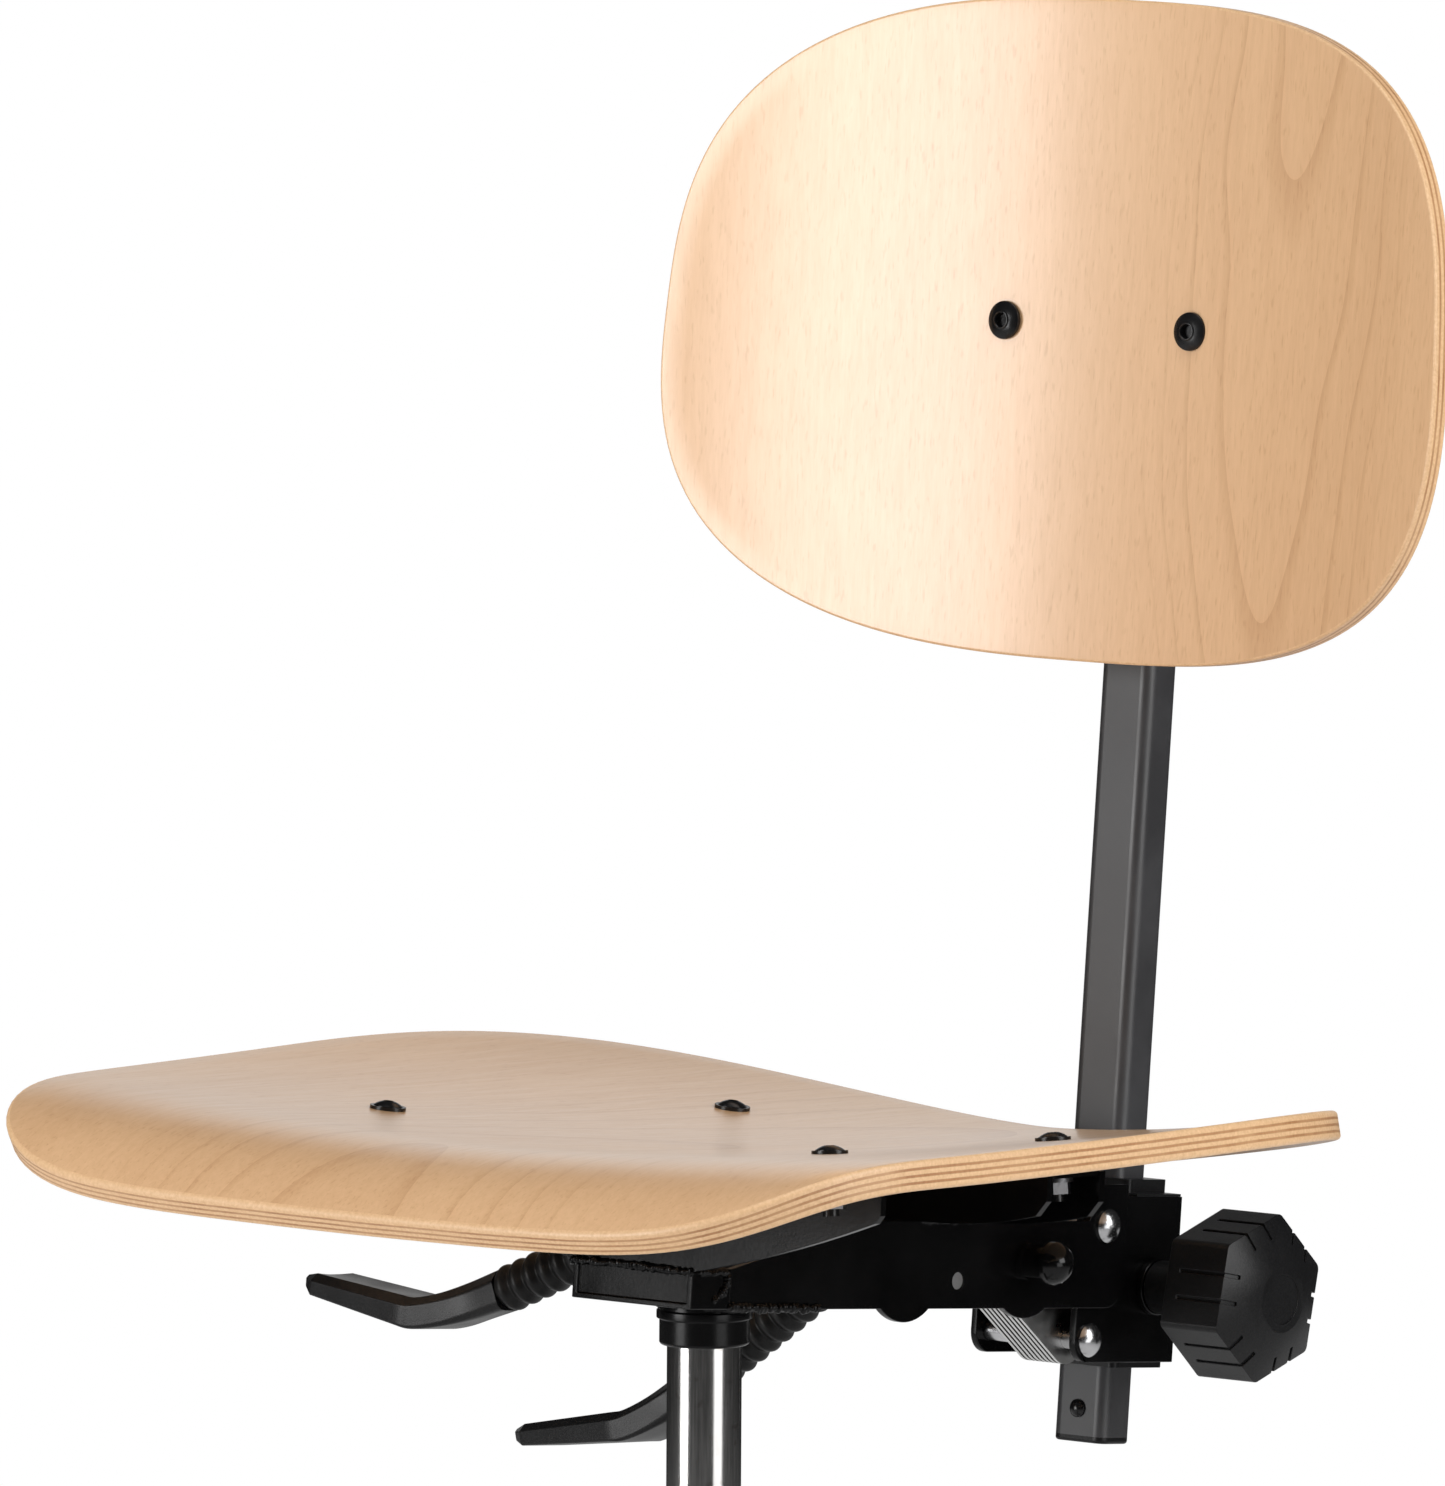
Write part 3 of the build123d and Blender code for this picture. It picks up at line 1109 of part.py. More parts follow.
# ---------------------------------------------------------------- pieces and files
PIECES = {
    "base_star": base_star,
    "base_glides": base_glides,
    "column_outer_tube": column_outer_tube,
    "column_guide_bush": column_guide_bush,
    "thrust_bearing": thrust_bearing,
    "buffer_ring": buffer_ring,
    "piston_rod": piston_rod,
    "rod_clip": rod_clip,
    "piston": piston,
    "pressure_tube": pressure_tube,
    "valve_button": valve_button,
    "socket_collar": socket_collar,
    "socket_box": socket_box,
    "frame_plate_left": lambda: side_plate(1),
    "frame_plate_right": lambda: side_plate(-1),
    "spring_pin": spring_pin,
    "pivot_axle": lambda: riveted_axle(PIVOT, PLATE_OUT),
    "lower_axle": lambda: riveted_axle(LOWER_AXLE, BRACKET_OUT),
    "clamp_axle": clamp_axle,
    "clamp_cap": clamp_cap,
    "cam_washer": cam_washer,
    "friction_leaves": friction_leaves,
    "friction_washers": friction_washers,
    "bracket_plate_left": lambda: bracket_plate(1),
    "bracket_plate_right": lambda: bracket_plate(-1),
    "bush_top": bush_top,
    "bush_bottom": bush_bottom,
    "clamp_boss": clamp_boss,
    "clamp_pad": clamp_pad,
    "clamp_screw": clamp_screw,
    "clamp_knob": clamp_knob,
    "back_bar": back_bar,
    "bar_end_cap": lambda: bar_end_cap(True),
    "bar_top_cap": lambda: bar_end_cap(False),
    "stop_screw": stop_screw,
    "back_carrier": back_carrier,
    "backrest_shell": backrest_shell,
    "backrest_bolts": backrest_bolts,
    "backrest_nuts": backrest_nuts,
    "front_seat_wing": front_seat_wing,
    "rear_seat_channel": rear_seat_channel,
    "seat_shell": seat_shell,
    "seat_screws": seat_screws,
    "seat_nuts": seat_nuts,
    "gas_lever_rod": gas_lever_rod,
    "gas_lever_bracket": gas_lever_bracket,
    "gas_lever_pin": gas_lever_pin,
    "gas_lever_bellows": gas_lever_bellows,
    "gas_lever_handle": gas_lever_handle,
    "tilt_lever_rod": tilt_lever_rod,
    "tilt_lever_pin": tilt_lever_pin,
    "tilt_lever_bellows": tilt_lever_bellows,
    "tilt_lever_handle": tilt_lever_handle,
}


def main():
    os.makedirs("parts", exist_ok=True)
    for name, make in PIECES.items():
        made = make()
        solids = made if isinstance(made, list) else made.solids()
        flat = [solid for piece in solids for solid in piece.solids()]
        export_step(Compound(children=flat), f"parts/{name}.step")


main()
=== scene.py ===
import json
from math import cos, degrees, pi, radians, sin, sqrt

import bmesh
import bpy
from mathutils import Matrix, Vector


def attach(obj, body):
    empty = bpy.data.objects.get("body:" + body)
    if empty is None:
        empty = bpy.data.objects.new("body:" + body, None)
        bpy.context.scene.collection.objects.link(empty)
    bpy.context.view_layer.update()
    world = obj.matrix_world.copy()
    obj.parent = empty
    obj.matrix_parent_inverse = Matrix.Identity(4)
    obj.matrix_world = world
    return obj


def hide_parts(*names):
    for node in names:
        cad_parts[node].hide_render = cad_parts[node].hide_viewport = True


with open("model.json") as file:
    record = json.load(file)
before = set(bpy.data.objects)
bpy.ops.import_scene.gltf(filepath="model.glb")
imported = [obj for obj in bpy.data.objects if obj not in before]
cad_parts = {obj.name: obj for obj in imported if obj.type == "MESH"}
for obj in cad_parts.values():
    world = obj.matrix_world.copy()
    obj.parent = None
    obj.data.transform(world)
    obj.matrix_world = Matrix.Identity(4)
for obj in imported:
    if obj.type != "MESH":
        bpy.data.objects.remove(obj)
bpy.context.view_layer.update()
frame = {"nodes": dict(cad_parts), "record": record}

bl_info = {
    "name": "Plywood Drum Throne",
    "version": (1, 0, 0),
    "blender": (4, 5, 0),
    "location": "View3D > Sidebar > Throne",
    "description": "Dresses the frame of a height-adjustable drum throne with a plywood seat",
    "category": "Add Mesh",
}

MM = 0.001

# The mechanism is drawn level, in millimetres, with x sideways, u rearwards and w upwards from
# the underside of the socket collar. It leans back about that point.
COLLAR_HEIGHT = 465.0
FRAME_LEAN = 5.0
MECHANISM = (
    Matrix.Translation((0, 0, COLLAR_HEIGHT * MM)) @ Matrix.Rotation(radians(-FRAME_LEAN), 4, "X")
)

# Seat: outline, widest line (u) and top surface, over a span from the middle
SPAN = 200.0
SEAT_CENTRE = -9.0
SEAT_OUTLINE = {
    "to_front": 203.0, "to_rear": 206.5, "power_front": 6.2, "power_rear": 2.7, "flare": 0.042,
}
SEAT_LEVEL = (74.2, 3.1, 5.1)          # w of the middle line, with its slope and curve rearwards
DISH_CHANGE = (12.9, -3.2)             # slope and curve of the dish's depth rearwards
DISH_POWER = 1.63
LIP_START = -118.0                     # u where the front starts to fall
LIP_SPAN = 80.0
LIP_POWER = 3.35

# Backrest: outline, u of its face and w of its middle
BACK_FACE = 197.5
BACK_CENTRE = 388.0
BACK_OUTLINE = {
    "to_front": 128.0, "to_rear": 124.5, "power_front": 2.8, "power_rear": 2.8, "flare": -0.066,
}

# Levers: knee and height of the rod, its slope, where the bellows start, how many ribs they have
# and how many degrees the handle stands up from the rod
GAS_LEVER = {
    "bend": 34.0, "u": -3.41, "height": 39.0, "slope": 23.5, "start": 2.0, "ribs": 9, "cant": 2.4,
}
TILT_LEVER = {
    "bend": 48.02, "u": 152.4, "height": 33.5, "slope": 36.5, "start": 1.5, "ribs": 13, "cant": -1.6,
}
SLEEVE_BORE = 4.3                      # radius of the rod inside the bellows
SLEEVE_GRID = (241, 49)                # points along and round the bellows
HANDLE_GAP = 0.05                      # between the bellows and the handle
ELBOW = (44.0, 5.2)                    # along and above the rod, from the handle's start
UNDERSIDE = 1.6                        # how much rounder a handle's lower corners are

# Knob: u and w of its axis, how domed its crown is and the radius of its flat face
KNOB_AXIS = (234.0, 23.3)
KNOB_DOME = 17.0
KNOB_FLAT = 7.5
CROWN_FACING = 0.6                     # least cosine to the axis of a face of the crown


# ---------------------------------------------------------------- settings
class SeatSettings(bpy.types.PropertyGroup):
    """Sizes of the moulded plywood seat, in the mechanism's frame."""
    thickness: bpy.props.FloatProperty(
        name="Thickness", description="Plywood thickness in millimetres", default=11.0, min=4.0)
    plies: bpy.props.IntProperty(
        name="Plies", description="Number of veneers glued together", default=7, min=3)
    edge_radius: bpy.props.FloatProperty(
        name="Edge radius", description="Rounding of the edge in millimetres", default=1.7, min=0.2)
    half_width: bpy.props.FloatProperty(
        name="Half width", description="Middle to side in millimetres", default=215.5)
    dish_depth: bpy.props.FloatProperty(
        name="Dish depth", description="Rise of the sides at 200 mm, in millimetres", default=19.6)
    fall_depth: bpy.props.FloatProperty(
        name="Front fall", description="Drop of the front lip over 80 mm, in millimetres", default=16.7)


class BackrestSettings(bpy.types.PropertyGroup):
    """Sizes of the bent plywood backrest."""
    thickness: bpy.props.FloatProperty(
        name="Thickness", description="Plywood thickness in millimetres", default=8.5, min=3.0)
    plies: bpy.props.IntProperty(
        name="Plies", description="Number of veneers glued together", default=5, min=3)
    edge_radius: bpy.props.FloatProperty(
        name="Edge radius", description="Rounding of the edge in millimetres", default=1.0, min=0.2)
    bend_radius: bpy.props.FloatProperty(
        name="Bend radius", description="Curvature round the sitter in millimetres", default=565.0)
    half_width: bpy.props.FloatProperty(
        name="Half width", description="Middle to side in millimetres", default=187.5)
    off_centre: bpy.props.FloatProperty(
        name="Off centre", description="Panel's middle from the bar's, in millimetres", default=2.0)


class LeverSettings(bpy.types.PropertyGroup):
    """Sizes of the two release levers."""
    rib_pitch: bpy.props.FloatProperty(
        name="Rib pitch", description="Distance between bellows ribs in millimetres", default=7.2, min=2.0)
    crest: bpy.props.FloatProperty(
        name="Rib diameter", description="Largest diameter of the bellows in millimetres", default=18.1)
    root: bpy.props.FloatProperty(
        name="Root diameter", description="Smallest diameter of the bellows in millimetres", default=14.5)
    paddle_width: bpy.props.FloatProperty(
        name="Paddle width", description="Width of the handle's paddle in millimetres", default=29.0)
    elbow: bpy.props.FloatProperty(
        name="Elbow", description="Angle between neck and paddle", default=radians(28.5), subtype="ANGLE")


class MetalSettings(bpy.types.PropertyGroup):
    """Edges and welds of the painted steel parts."""
    edge_softening: bpy.props.FloatProperty(
        name="Edge softening", description="Rounding of cut and folded edges in millimetres", default=0.5)
    bead_width: bpy.props.FloatProperty(
        name="Bead width", description="Width of the weld beads in millimetres", default=4.2)
    bead_pitch: bpy.props.FloatProperty(
        name="Bead pitch", description="Distance between weld ripples in millimetres", default=1.3)


class FinishSettings(bpy.types.PropertyGroup):
    """Colours of the finishes."""
    beech: bpy.props.FloatVectorProperty(
        name="Beech", description="Face veneer under clear lacquer", subtype="COLOR",
        default=(0.72, 0.45, 0.245), min=0.0, max=1.0)
    beech_dark: bpy.props.FloatVectorProperty(
        name="Late wood", description="Darker bands of the veneer", subtype="COLOR",
        default=(0.53, 0.295, 0.14), min=0.0, max=1.0)
    black_paint: bpy.props.FloatVectorProperty(
        name="Black paint", description="Painted steel", subtype="COLOR",
        default=(0.0026, 0.0026, 0.0028), min=0.0, max=1.0)
    black_plastic: bpy.props.FloatVectorProperty(
        name="Black plastic", description="Moulded handles and knob", subtype="COLOR",
        default=(0.010, 0.010, 0.0105), min=0.0, max=1.0)
    steel: bpy.props.FloatVectorProperty(
        name="Steel", description="Bare drawn steel", subtype="COLOR",
        default=(0.60, 0.59, 0.58), min=0.0, max=1.0)


class StageSettings(bpy.types.PropertyGroup):
    """Camera and lights."""
    azimuth: bpy.props.FloatProperty(
        name="Azimuth", description="Camera direction round the throne", subtype="ANGLE",
        default=radians(40.14))
    elevation: bpy.props.FloatProperty(
        name="Elevation", description="Camera height above level", subtype="ANGLE",
        default=radians(5.25))
    roll: bpy.props.FloatProperty(
        name="Roll", description="Camera turned about its axis", subtype="ANGLE", default=radians(0.33))
    sky: bpy.props.FloatProperty(
        name="Sky", description="Strength of the even light all round", default=0.21, min=0.0)
    room: bpy.props.FloatProperty(
        name="Room", description="Brightness of the room in reflections", default=0.015, min=0.0)
    backdrop: bpy.props.FloatProperty(
        name="Backdrop", description="Brightness of the backdrop in reflections", default=0.66, min=0.0)


SETTINGS = {
    "throne_seat": SeatSettings,
    "throne_backrest": BackrestSettings,
    "throne_levers": LeverSettings,
    "throne_metal": MetalSettings,
    "throne_finishes": FinishSettings,
    "throne_stage": StageSettings,
}


def setting(group):
    """The scene's settings of one group."""
    return getattr(bpy.context.scene, "throne_" + group)


# ---------------------------------------------------------------- mesh helpers
def place_point(x, u, w):
    """World place, in metres, of a point of the mechanism."""
    return MECHANISM @ Vector((x * MM, u * MM, w * MM))


def linked(name, data):
    """A new object in the scene, at the origin."""
    thing = bpy.data.objects.new(name, data)
    bpy.context.collection.objects.link(thing)
    return thing


def mesh_piece(name, points, faces, finish, body, smooth_angle):
    """A mesh object at the origin, in metres, that rides on a body."""
    mesh = bpy.data.meshes.new(name)
    mesh.from_pydata([tuple(p) for p in points], [], faces)
    mesh.validate()
    piece = linked(name, mesh)
    mesh.materials.append(finish)
    smooth_shading(mesh, smooth_angle)
    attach(piece, body)
    return piece


def smooth_shading(mesh, angle):
    """Smooth faces, with sharp edges where they meet at more than an angle in degrees."""
    for polygon in mesh.polygons:
        polygon.use_smooth = True
    mesh.set_sharp_from_angle(angle=radians(angle))


def ring_faces(rings, count, first=0):
    """Faces between rings of count points each, listed one ring after the other."""
    faces = []
    for ring in range(rings - 1):
        near, far = first + ring * count, first + (ring + 1) * count
        for index in range(count):
            following = (index + 1) % count
            faces.append((near + index, far + index, far + following, near + following))
    return faces


def evaluated_mesh(source):
    """A plain mesh of what an object's modifiers make."""
    graph = bpy.context.evaluated_depsgraph_get()
    graph.update()
    return bpy.data.meshes.new_from_object(source.evaluated_get(graph))


def level_shading(piece):
    """Shades flat faces flat beside rounded edges, and applies the piece's modifiers."""
    weighted = piece.modifiers.new("Flat faces", "WEIGHTED_NORMAL")
    weighted.keep_sharp = True
    made, old = evaluated_mesh(piece), piece.data
    piece.modifiers.clear()
    piece.data = made
    bpy.data.meshes.remove(old)


def outward_faces(piece):
    """Turns every face of a closed piece outwards."""
    shape = bmesh.new()
    shape.from_mesh(piece.data)
    bmesh.ops.recalc_face_normals(shape, faces=shape.faces)
    shape.to_mesh(piece.data)
    shape.free()


# ---------------------------------------------------------------- node helpers
class Tree:
    """Short way to add and join the nodes of one tree."""

    def __init__(self, tree):
        self.tree = tree

    def add(self, kind, inputs=None, **settings):
        node = self.tree.nodes.new(kind)
        for name, value in settings.items():
            setattr(node, name, value)
        for socket, value in (inputs or {}).items():
            self.feed(node.inputs[socket], value)
        return node

    def feed(self, socket, value):
        if isinstance(value, bpy.types.NodeSocket):
            self.tree.links.new(value, socket)
        else:
            socket.default_value = value

    def math(self, operation, first, second=0.0, third=0.0):
        node = self.add("ShaderNodeMath", operation=operation)
        for socket, value in zip(node.inputs, (first, second, third)):
            self.feed(socket, value)
        return node.outputs[0]

    def ramp(self, value, low, high, to_low=0.0, to_high=1.0):
        node = self.add("ShaderNodeMapRange", {
            "Value": value, "From Min": low, "From Max": high, "To Min": to_low, "To Max": to_high,
        })
        return node.outputs["Result"]

    def blend(self, factor, first, second):
        """Number between two, by a factor from 0 to 1."""
        return self.ramp(factor, 0.0, 1.0, first, second)

    def finish(self, geometry, material):
        """Ends a geometry tree with realised instances and their finish."""
        real = self.add("GeometryNodeRealizeInstances", {"Geometry": geometry})
        dressed = self.add("GeometryNodeSetMaterial", {"Geometry": real.outputs[0], "Material": material})
        out = self.add("NodeGroupOutput")
        self.tree.links.new(dressed.outputs[0], out.inputs[0])


def rule_tree(name, inputs, result):
    """Starts a geometry tree; gives its builder and the identifiers of its named inputs."""
    tree = bpy.data.node_groups.new(name, "GeometryNodeTree")
    sockets = {}
    for label, kind, default in inputs:
        socket = tree.interface.new_socket(label, in_out="INPUT", socket_type="NodeSocket" + kind)
        if default is not None:
            socket.default_value = default
        sockets[label] = socket.identifier
    tree.interface.new_socket(result, in_out="OUTPUT", socket_type="NodeSocketGeometry")
    return Tree(tree), sockets


def grown_piece(name, source_data, tree, values, body, place=Matrix()):
    """A plain mesh at the origin, from what a geometry tree makes of a mesh or a curve."""
    source = linked(name, source_data)
    modifier = source.modifiers.new("Made by rule", "NODES")
    modifier.node_group = tree
    for identifier, value in values.items():
        modifier[identifier] = value
    mesh = evaluated_mesh(source)
    bpy.data.objects.remove(source)
    mesh.transform(place)
    piece = linked(name, mesh)
    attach(piece, body)
    return piece


class Finish(Tree):
    """Short way to build one material."""

    def __init__(self, name, slot):
        self.material = bpy.data.materials.new(name)
        self.material.use_nodes = True
        self.material["record_slot"] = slot
        super().__init__(self.material.node_tree)
        self.shader = self.tree.nodes["Principled BSDF"]

    def shade(self, **inputs):
        for name, value in inputs.items():
            self.feed(self.shader.inputs[name.replace("_", " ")], value)

    def coordinates(self, scale=(1, 1, 1)):
        texture = self.add("ShaderNodeTexCoord")
        mapping = self.add("ShaderNodeMapping", {"Vector": texture.outputs["Object"], "Scale": scale})
        return mapping.outputs["Vector"]

    def noise(self, vector, scale, detail=2.0, roughness=0.5, distortion=0.0):
        node = self.add("ShaderNodeTexNoise", {
            "Vector": vector, "Scale": scale, "Detail": detail, "Roughness": roughness,
            "Distortion": distortion,
        })
        return node.outputs["Fac"]

    def mix(self, factor, first, second):
        node = self.add("ShaderNodeMix", data_type="RGBA")
        self.feed(node.inputs["Factor"], factor)
        for colour_socket, value in ((6, first), (7, second)):
            self.feed(node.inputs[colour_socket], value)
        return node.outputs[2]

    def bump(self, height, strength, distance):
        node = self.add("ShaderNodeBump", {
            "Height": height, "Strength": strength, "Distance": distance,
        })
        return node.outputs["Normal"]


def rgba(colour, level=1.0):
    """A colour, made lighter or darker by a factor, with its alpha."""
    return tuple(level * part for part in colour) + (1.0,)


# ---------------------------------------------------------------- wood
GROWTH_RINGS = 6.2                     # nested arches to the metre
EARLY_WOOD = 0.80                      # pale share of each arch
SWAY = 0.013                           # how far the arches wander, in metres
FIBRE_STRETCH = 0.045                  # scale of the fibres along the grain
FLECK_STRETCH = 0.16                   # scale of the short flecks along the grain
PALE_PLY = ((0.74, 0.49, 0.275), (0.61, 0.37, 0.19))
DARK_PLY = ((0.42, 0.20, 0.08), (0.31, 0.14, 0.05))
FADED_PLY = (0.54, 0.31, 0.15)


def growth_lines(finish, grain, axis, tip, spread, steepness):
    """Nested arches of late wood along the grain, in metres: their axis, first tip and spread."""
    parts = finish.add("ShaderNodeSeparateXYZ", {"Vector": finish.coordinates()}).outputs
    sway = finish.ramp(finish.noise(finish.coordinates(), 6.0, 1.5, 0.45), 0.25, 0.75, -SWAY, SWAY)
    across = finish.math("ADD", finish.math("SUBTRACT", parts["X"], axis), sway)
    arch = finish.math("MULTIPLY", finish.math("MULTIPLY", across, across), steepness)
    rise = finish.math("ADD", finish.math("SUBTRACT", parts[grain], tip), finish.math("MULTIPLY", sway, 1.5))
    layers = finish.math("MULTIPLY", finish.math("SUBTRACT", rise, arch), GROWTH_RINGS)
    late = finish.ramp(finish.math("FRACT", layers), EARLY_WOOD, 1.0)
    near = finish.ramp(finish.math("ABSOLUTE", across), 0.55 * spread, spread, 1.0, 0.0)
    return finish.math("MULTIPLY", late, near)


def beech_veneer(name, grain, axis, tip, spread, steepness):
    """Lacquered beech face; grain is the axis that the fibres follow, "Y" or "Z"."""
    colours = setting("finishes")
    finish = Finish(name, "beech_ply")
    fibres, flecked = (
        finish.coordinates(tuple(stretch if axis_name == grain else 1 for axis_name in "XYZ"))
        for stretch in (FIBRE_STRETCH, FLECK_STRETCH)
    )
    broad = finish.noise(fibres, 11.0, 3.0, 0.55, 0.6)
    streaks = finish.noise(fibres, 420.0, 2.0, 0.6)
    threads = finish.noise(fibres, 1500.0, 1.0, 0.5)
    flecks = finish.ramp(finish.noise(flecked, 950.0, 1.0, 0.4), 0.60, 0.74)
    lines = growth_lines(finish, grain, axis, tip, spread, steepness)
    tone = finish.ramp(broad, 0.3, 0.75, 0.0, 0.34)
    for part in (
        finish.ramp(streaks, 0.3, 0.7, -0.10, 0.14),
        finish.math("MULTIPLY", lines, 0.46),
        finish.math("MULTIPLY", flecks, 0.34),
        finish.ramp(threads, 0.3, 0.7, -0.06, 0.06),
    ):
        tone = finish.math("ADD", tone, part)
    relief = finish.math("SUBTRACT", streaks, finish.math("MULTIPLY", flecks, 0.5))
    finish.shade(
        Base_Color=finish.mix(tone, rgba(colours.beech), rgba(colours.beech_dark)),
        Roughness=finish.ramp(streaks, 0.2, 0.8, 0.36, 0.46),
        Coat_Weight=1.0,
        Coat_Roughness=0.22,
        Coat_IOR=1.55,
        Normal=finish.bump(relief, 0.10, 0.0002),
    )
    return finish.material


def ply_edge(name, plies):
    """Trimmed plywood edge: pale long-grain veneers with thin dark end-grain ones between them."""
    finish = Finish(name, "beech_ply")
    depth = finish.add("ShaderNodeAttribute", attribute_name="ply_depth").outputs["Fac"]
    wander = finish.noise(finish.coordinates(), 30.0, 2.0, 0.5)
    depth = finish.math("ADD", depth, finish.ramp(wander, 0.3, 0.7, -0.012, 0.012))
    dark_plies = (plies - 1) // 2
    offset = 0.0 if dark_plies % 2 else 0.5
    from_middle = finish.math("ABSOLUTE", finish.math("SUBTRACT", depth, 0.5))
    level = finish.math("MULTIPLY_ADD", from_middle, plies / 1.6, offset)
    level = finish.math("MINIMUM", level, (dark_plies + 2 * offset) / 2)
    cross = finish.ramp(finish.math("PINGPONG", level, 0.5), 0.26, 0.14)
    fibre = finish.noise(finish.coordinates(), 800.0, 2.0, 0.6)
    patches = finish.noise(finish.coordinates(), 48.0, 2.0, 0.6)
    pale, dark = (
        finish.mix(finish.ramp(fibre, 0.25, 0.75), rgba(light), rgba(deep))
        for light, deep in (PALE_PLY, DARK_PLY)
    )
    dark = finish.mix(finish.ramp(patches, 0.35, 0.7, 0.0, 0.8), dark, rgba(FADED_PLY))
    finish.shade(
        Base_Color=finish.mix(cross, pale, dark),
        Roughness=finish.ramp(fibre, 0.2, 0.8, 0.42, 0.58),
        Coat_Weight=0.25,
        Coat_Roughness=0.25,
        Normal=finish.bump(finish.math("ADD", fibre, cross), 0.14, 0.0003),
    )
    return finish.material


# ---------------------------------------------------------------- metal, plastic and rubber
RUST = (0.20, 0.12, 0.08)
RUBBER = ((0.004, 0.004, 0.004), (0.012, 0.0115, 0.011))


def painted_steel(name, slot, roughness, grain, level, gloss):
    """Black paint on steel: slight orange peel, a few dust marks and uneven gloss."""
    finish = Finish(name, slot)
    place = finish.coordinates()
    peel = finish.noise(place, grain, 2.0, 0.5)
    haze = finish.noise(place, 26.0, 3.0, 0.6)
    black = setting("finishes").black_paint
    colour = finish.mix(finish.ramp(haze, 0.35, 0.8, 0.0, 0.5), rgba(black, level), rgba(black, 1.9 * level))
    finish.shade(
        Base_Color=colour,
        Roughness=finish.ramp(haze, 0.3, 0.7, roughness - 0.05, roughness + 0.06),
        Specular_IOR_Level=gloss,
        Normal=finish.bump(peel, 0.12, 0.0002),
    )
    return finish.material


def bare_steel(name, slot, colour, roughness, along=(1, 1, 1), scratches=0.25, spots=0.0):
    """Bare metal with fine marks; along stretches them on the axis that the part was worked on."""
    finish = Finish(name, slot)
    marks = finish.noise(finish.coordinates(along), 1300.0, 2.0, 0.6)
    cloud = finish.noise(finish.coordinates(), 42.0, 3.0, 0.6)
    tint = finish.mix(finish.ramp(cloud, 0.35, 0.75), rgba(colour), rgba(colour, 0.84))
    if spots:
        rust = finish.ramp(finish.noise(finish.coordinates(), 240.0, 1.0, 0.4), 0.68, 0.76, 0.0, spots)
        tint = finish.mix(rust, tint, rgba(RUST))
    finish.shade(
        Base_Color=tint,
        Metallic=1.0,
        Roughness=finish.ramp(marks, 0.25, 0.75, roughness * 0.8, roughness * 1.3),
        Normal=finish.bump(marks, scratches, 0.00004),
    )
    return finish.material


def moulded_plastic(name, slot, roughness, grain, level):
    """Moulded plastic with a fine spark-eroded surface."""
    finish = Finish(name, slot)
    place = finish.coordinates()
    texture = finish.noise(place, grain, 2.0, 0.7)
    cloud = finish.noise(place, 60.0, 2.0, 0.5)
    black = setting("finishes").black_plastic
    colour = finish.mix(finish.ramp(texture, 0.35, 0.75), rgba(black, level), rgba(black, 2.1 * level))
    finish.shade(
        Base_Color=colour,
        Roughness=finish.ramp(cloud, 0.3, 0.7, roughness - 0.04, roughness + 0.05),
        Specular_IOR_Level=0.24,
        Normal=finish.bump(texture, 0.35, 0.00018),
    )
    return finish.material


def soft_rubber(name, slot):
    """Dull rubber with a faint bloom."""
    finish = Finish(name, slot)
    bloom = finish.noise(finish.coordinates(), 70.0, 3.0, 0.6)
    grit = finish.noise(finish.coordinates(), 1600.0, 1.0, 0.5)
    clean, bloomed = RUBBER
    finish.shade(
        Base_Color=finish.mix(finish.ramp(bloom, 0.35, 0.8), rgba(clean), rgba(bloomed)),
        Roughness=finish.ramp(bloom, 0.3, 0.7, 0.34, 0.46),
        Specular_IOR_Level=0.22,
        Normal=finish.bump(grit, 0.15, 0.0001),
    )
    return finish.material


def make_finishes():
    """Every finish of the throne, by name."""
    steel = tuple(setting("finishes").steel)
    bolt_height = place_point(0, BACK_FACE, BACK_CENTRE).z
    return {
        "seat_face": beech_veneer(
            "Seat veneer", "Y", axis=0.0, tip=-0.30, spread=0.15, steepness=-60.0),
        "back_face": beech_veneer(
            "Backrest veneer", "Z", axis=0.098, tip=bolt_height + 0.063, spread=0.075, steepness=140.0),
        "seat_edge": ply_edge("Seat ply edge", setting("seat").plies),
        "back_edge": ply_edge("Backrest ply edge", setting("backrest").plies),
        "paint": painted_steel(
            "Black paint", "black_powder", roughness=0.21, grain=700.0, level=0.8, gloss=0.22),
        "bar_paint": painted_steel(
            "Satin black powder coat", "black_satin", roughness=0.42, grain=1700.0, level=11.0, gloss=0.62),
        "tube": bare_steel(
            "Drawn tube", "tube_steel", steel, 0.15, along=(1, 1, 0.03), scratches=0.06, spots=0.25),
        "bright": bare_steel("Ground steel", "bright_steel", steel, 0.24),
        "leaf": bare_steel("Spring strip", "leaf_steel", (0.72, 0.72, 0.71), 0.30, along=(1, 0.1, 0.1)),
        "zinc": bare_steel("Zinc plate", "zinc_steel", (0.60, 0.60, 0.61), 0.22, scratches=0.12),
        "cut": bare_steel("Cut steel", "zinc_steel", (0.52, 0.52, 0.52), 0.42),
        # Painted shade: the nuts get a darker copy of the zinc plate, which keeps their reflections of the
        # lamps dim
        "darkened_zinc": bare_steel("Dull zinc", "zinc_steel", (0.17, 0.17, 0.175), 0.36, scratches=0.12),
        "brass": bare_steel("Turned brass", "brass", (0.72, 0.55, 0.28), 0.30),
        "plastic": moulded_plastic(
            "Moulded plastic", "black_plastic", roughness=0.32, grain=1500.0, level=0.6),
        "gloss": moulded_plastic("Polished plastic", "gloss_black", roughness=0.10, grain=300.0, level=0.3),
        "rubber": soft_rubber("Bellows rubber", "black_rubber"),
        "screw": painted_steel(
            "Black oxide", "black_screw", roughness=0.24, grain=900.0, level=2.0, gloss=0.36),
    }


FINISHES = {}


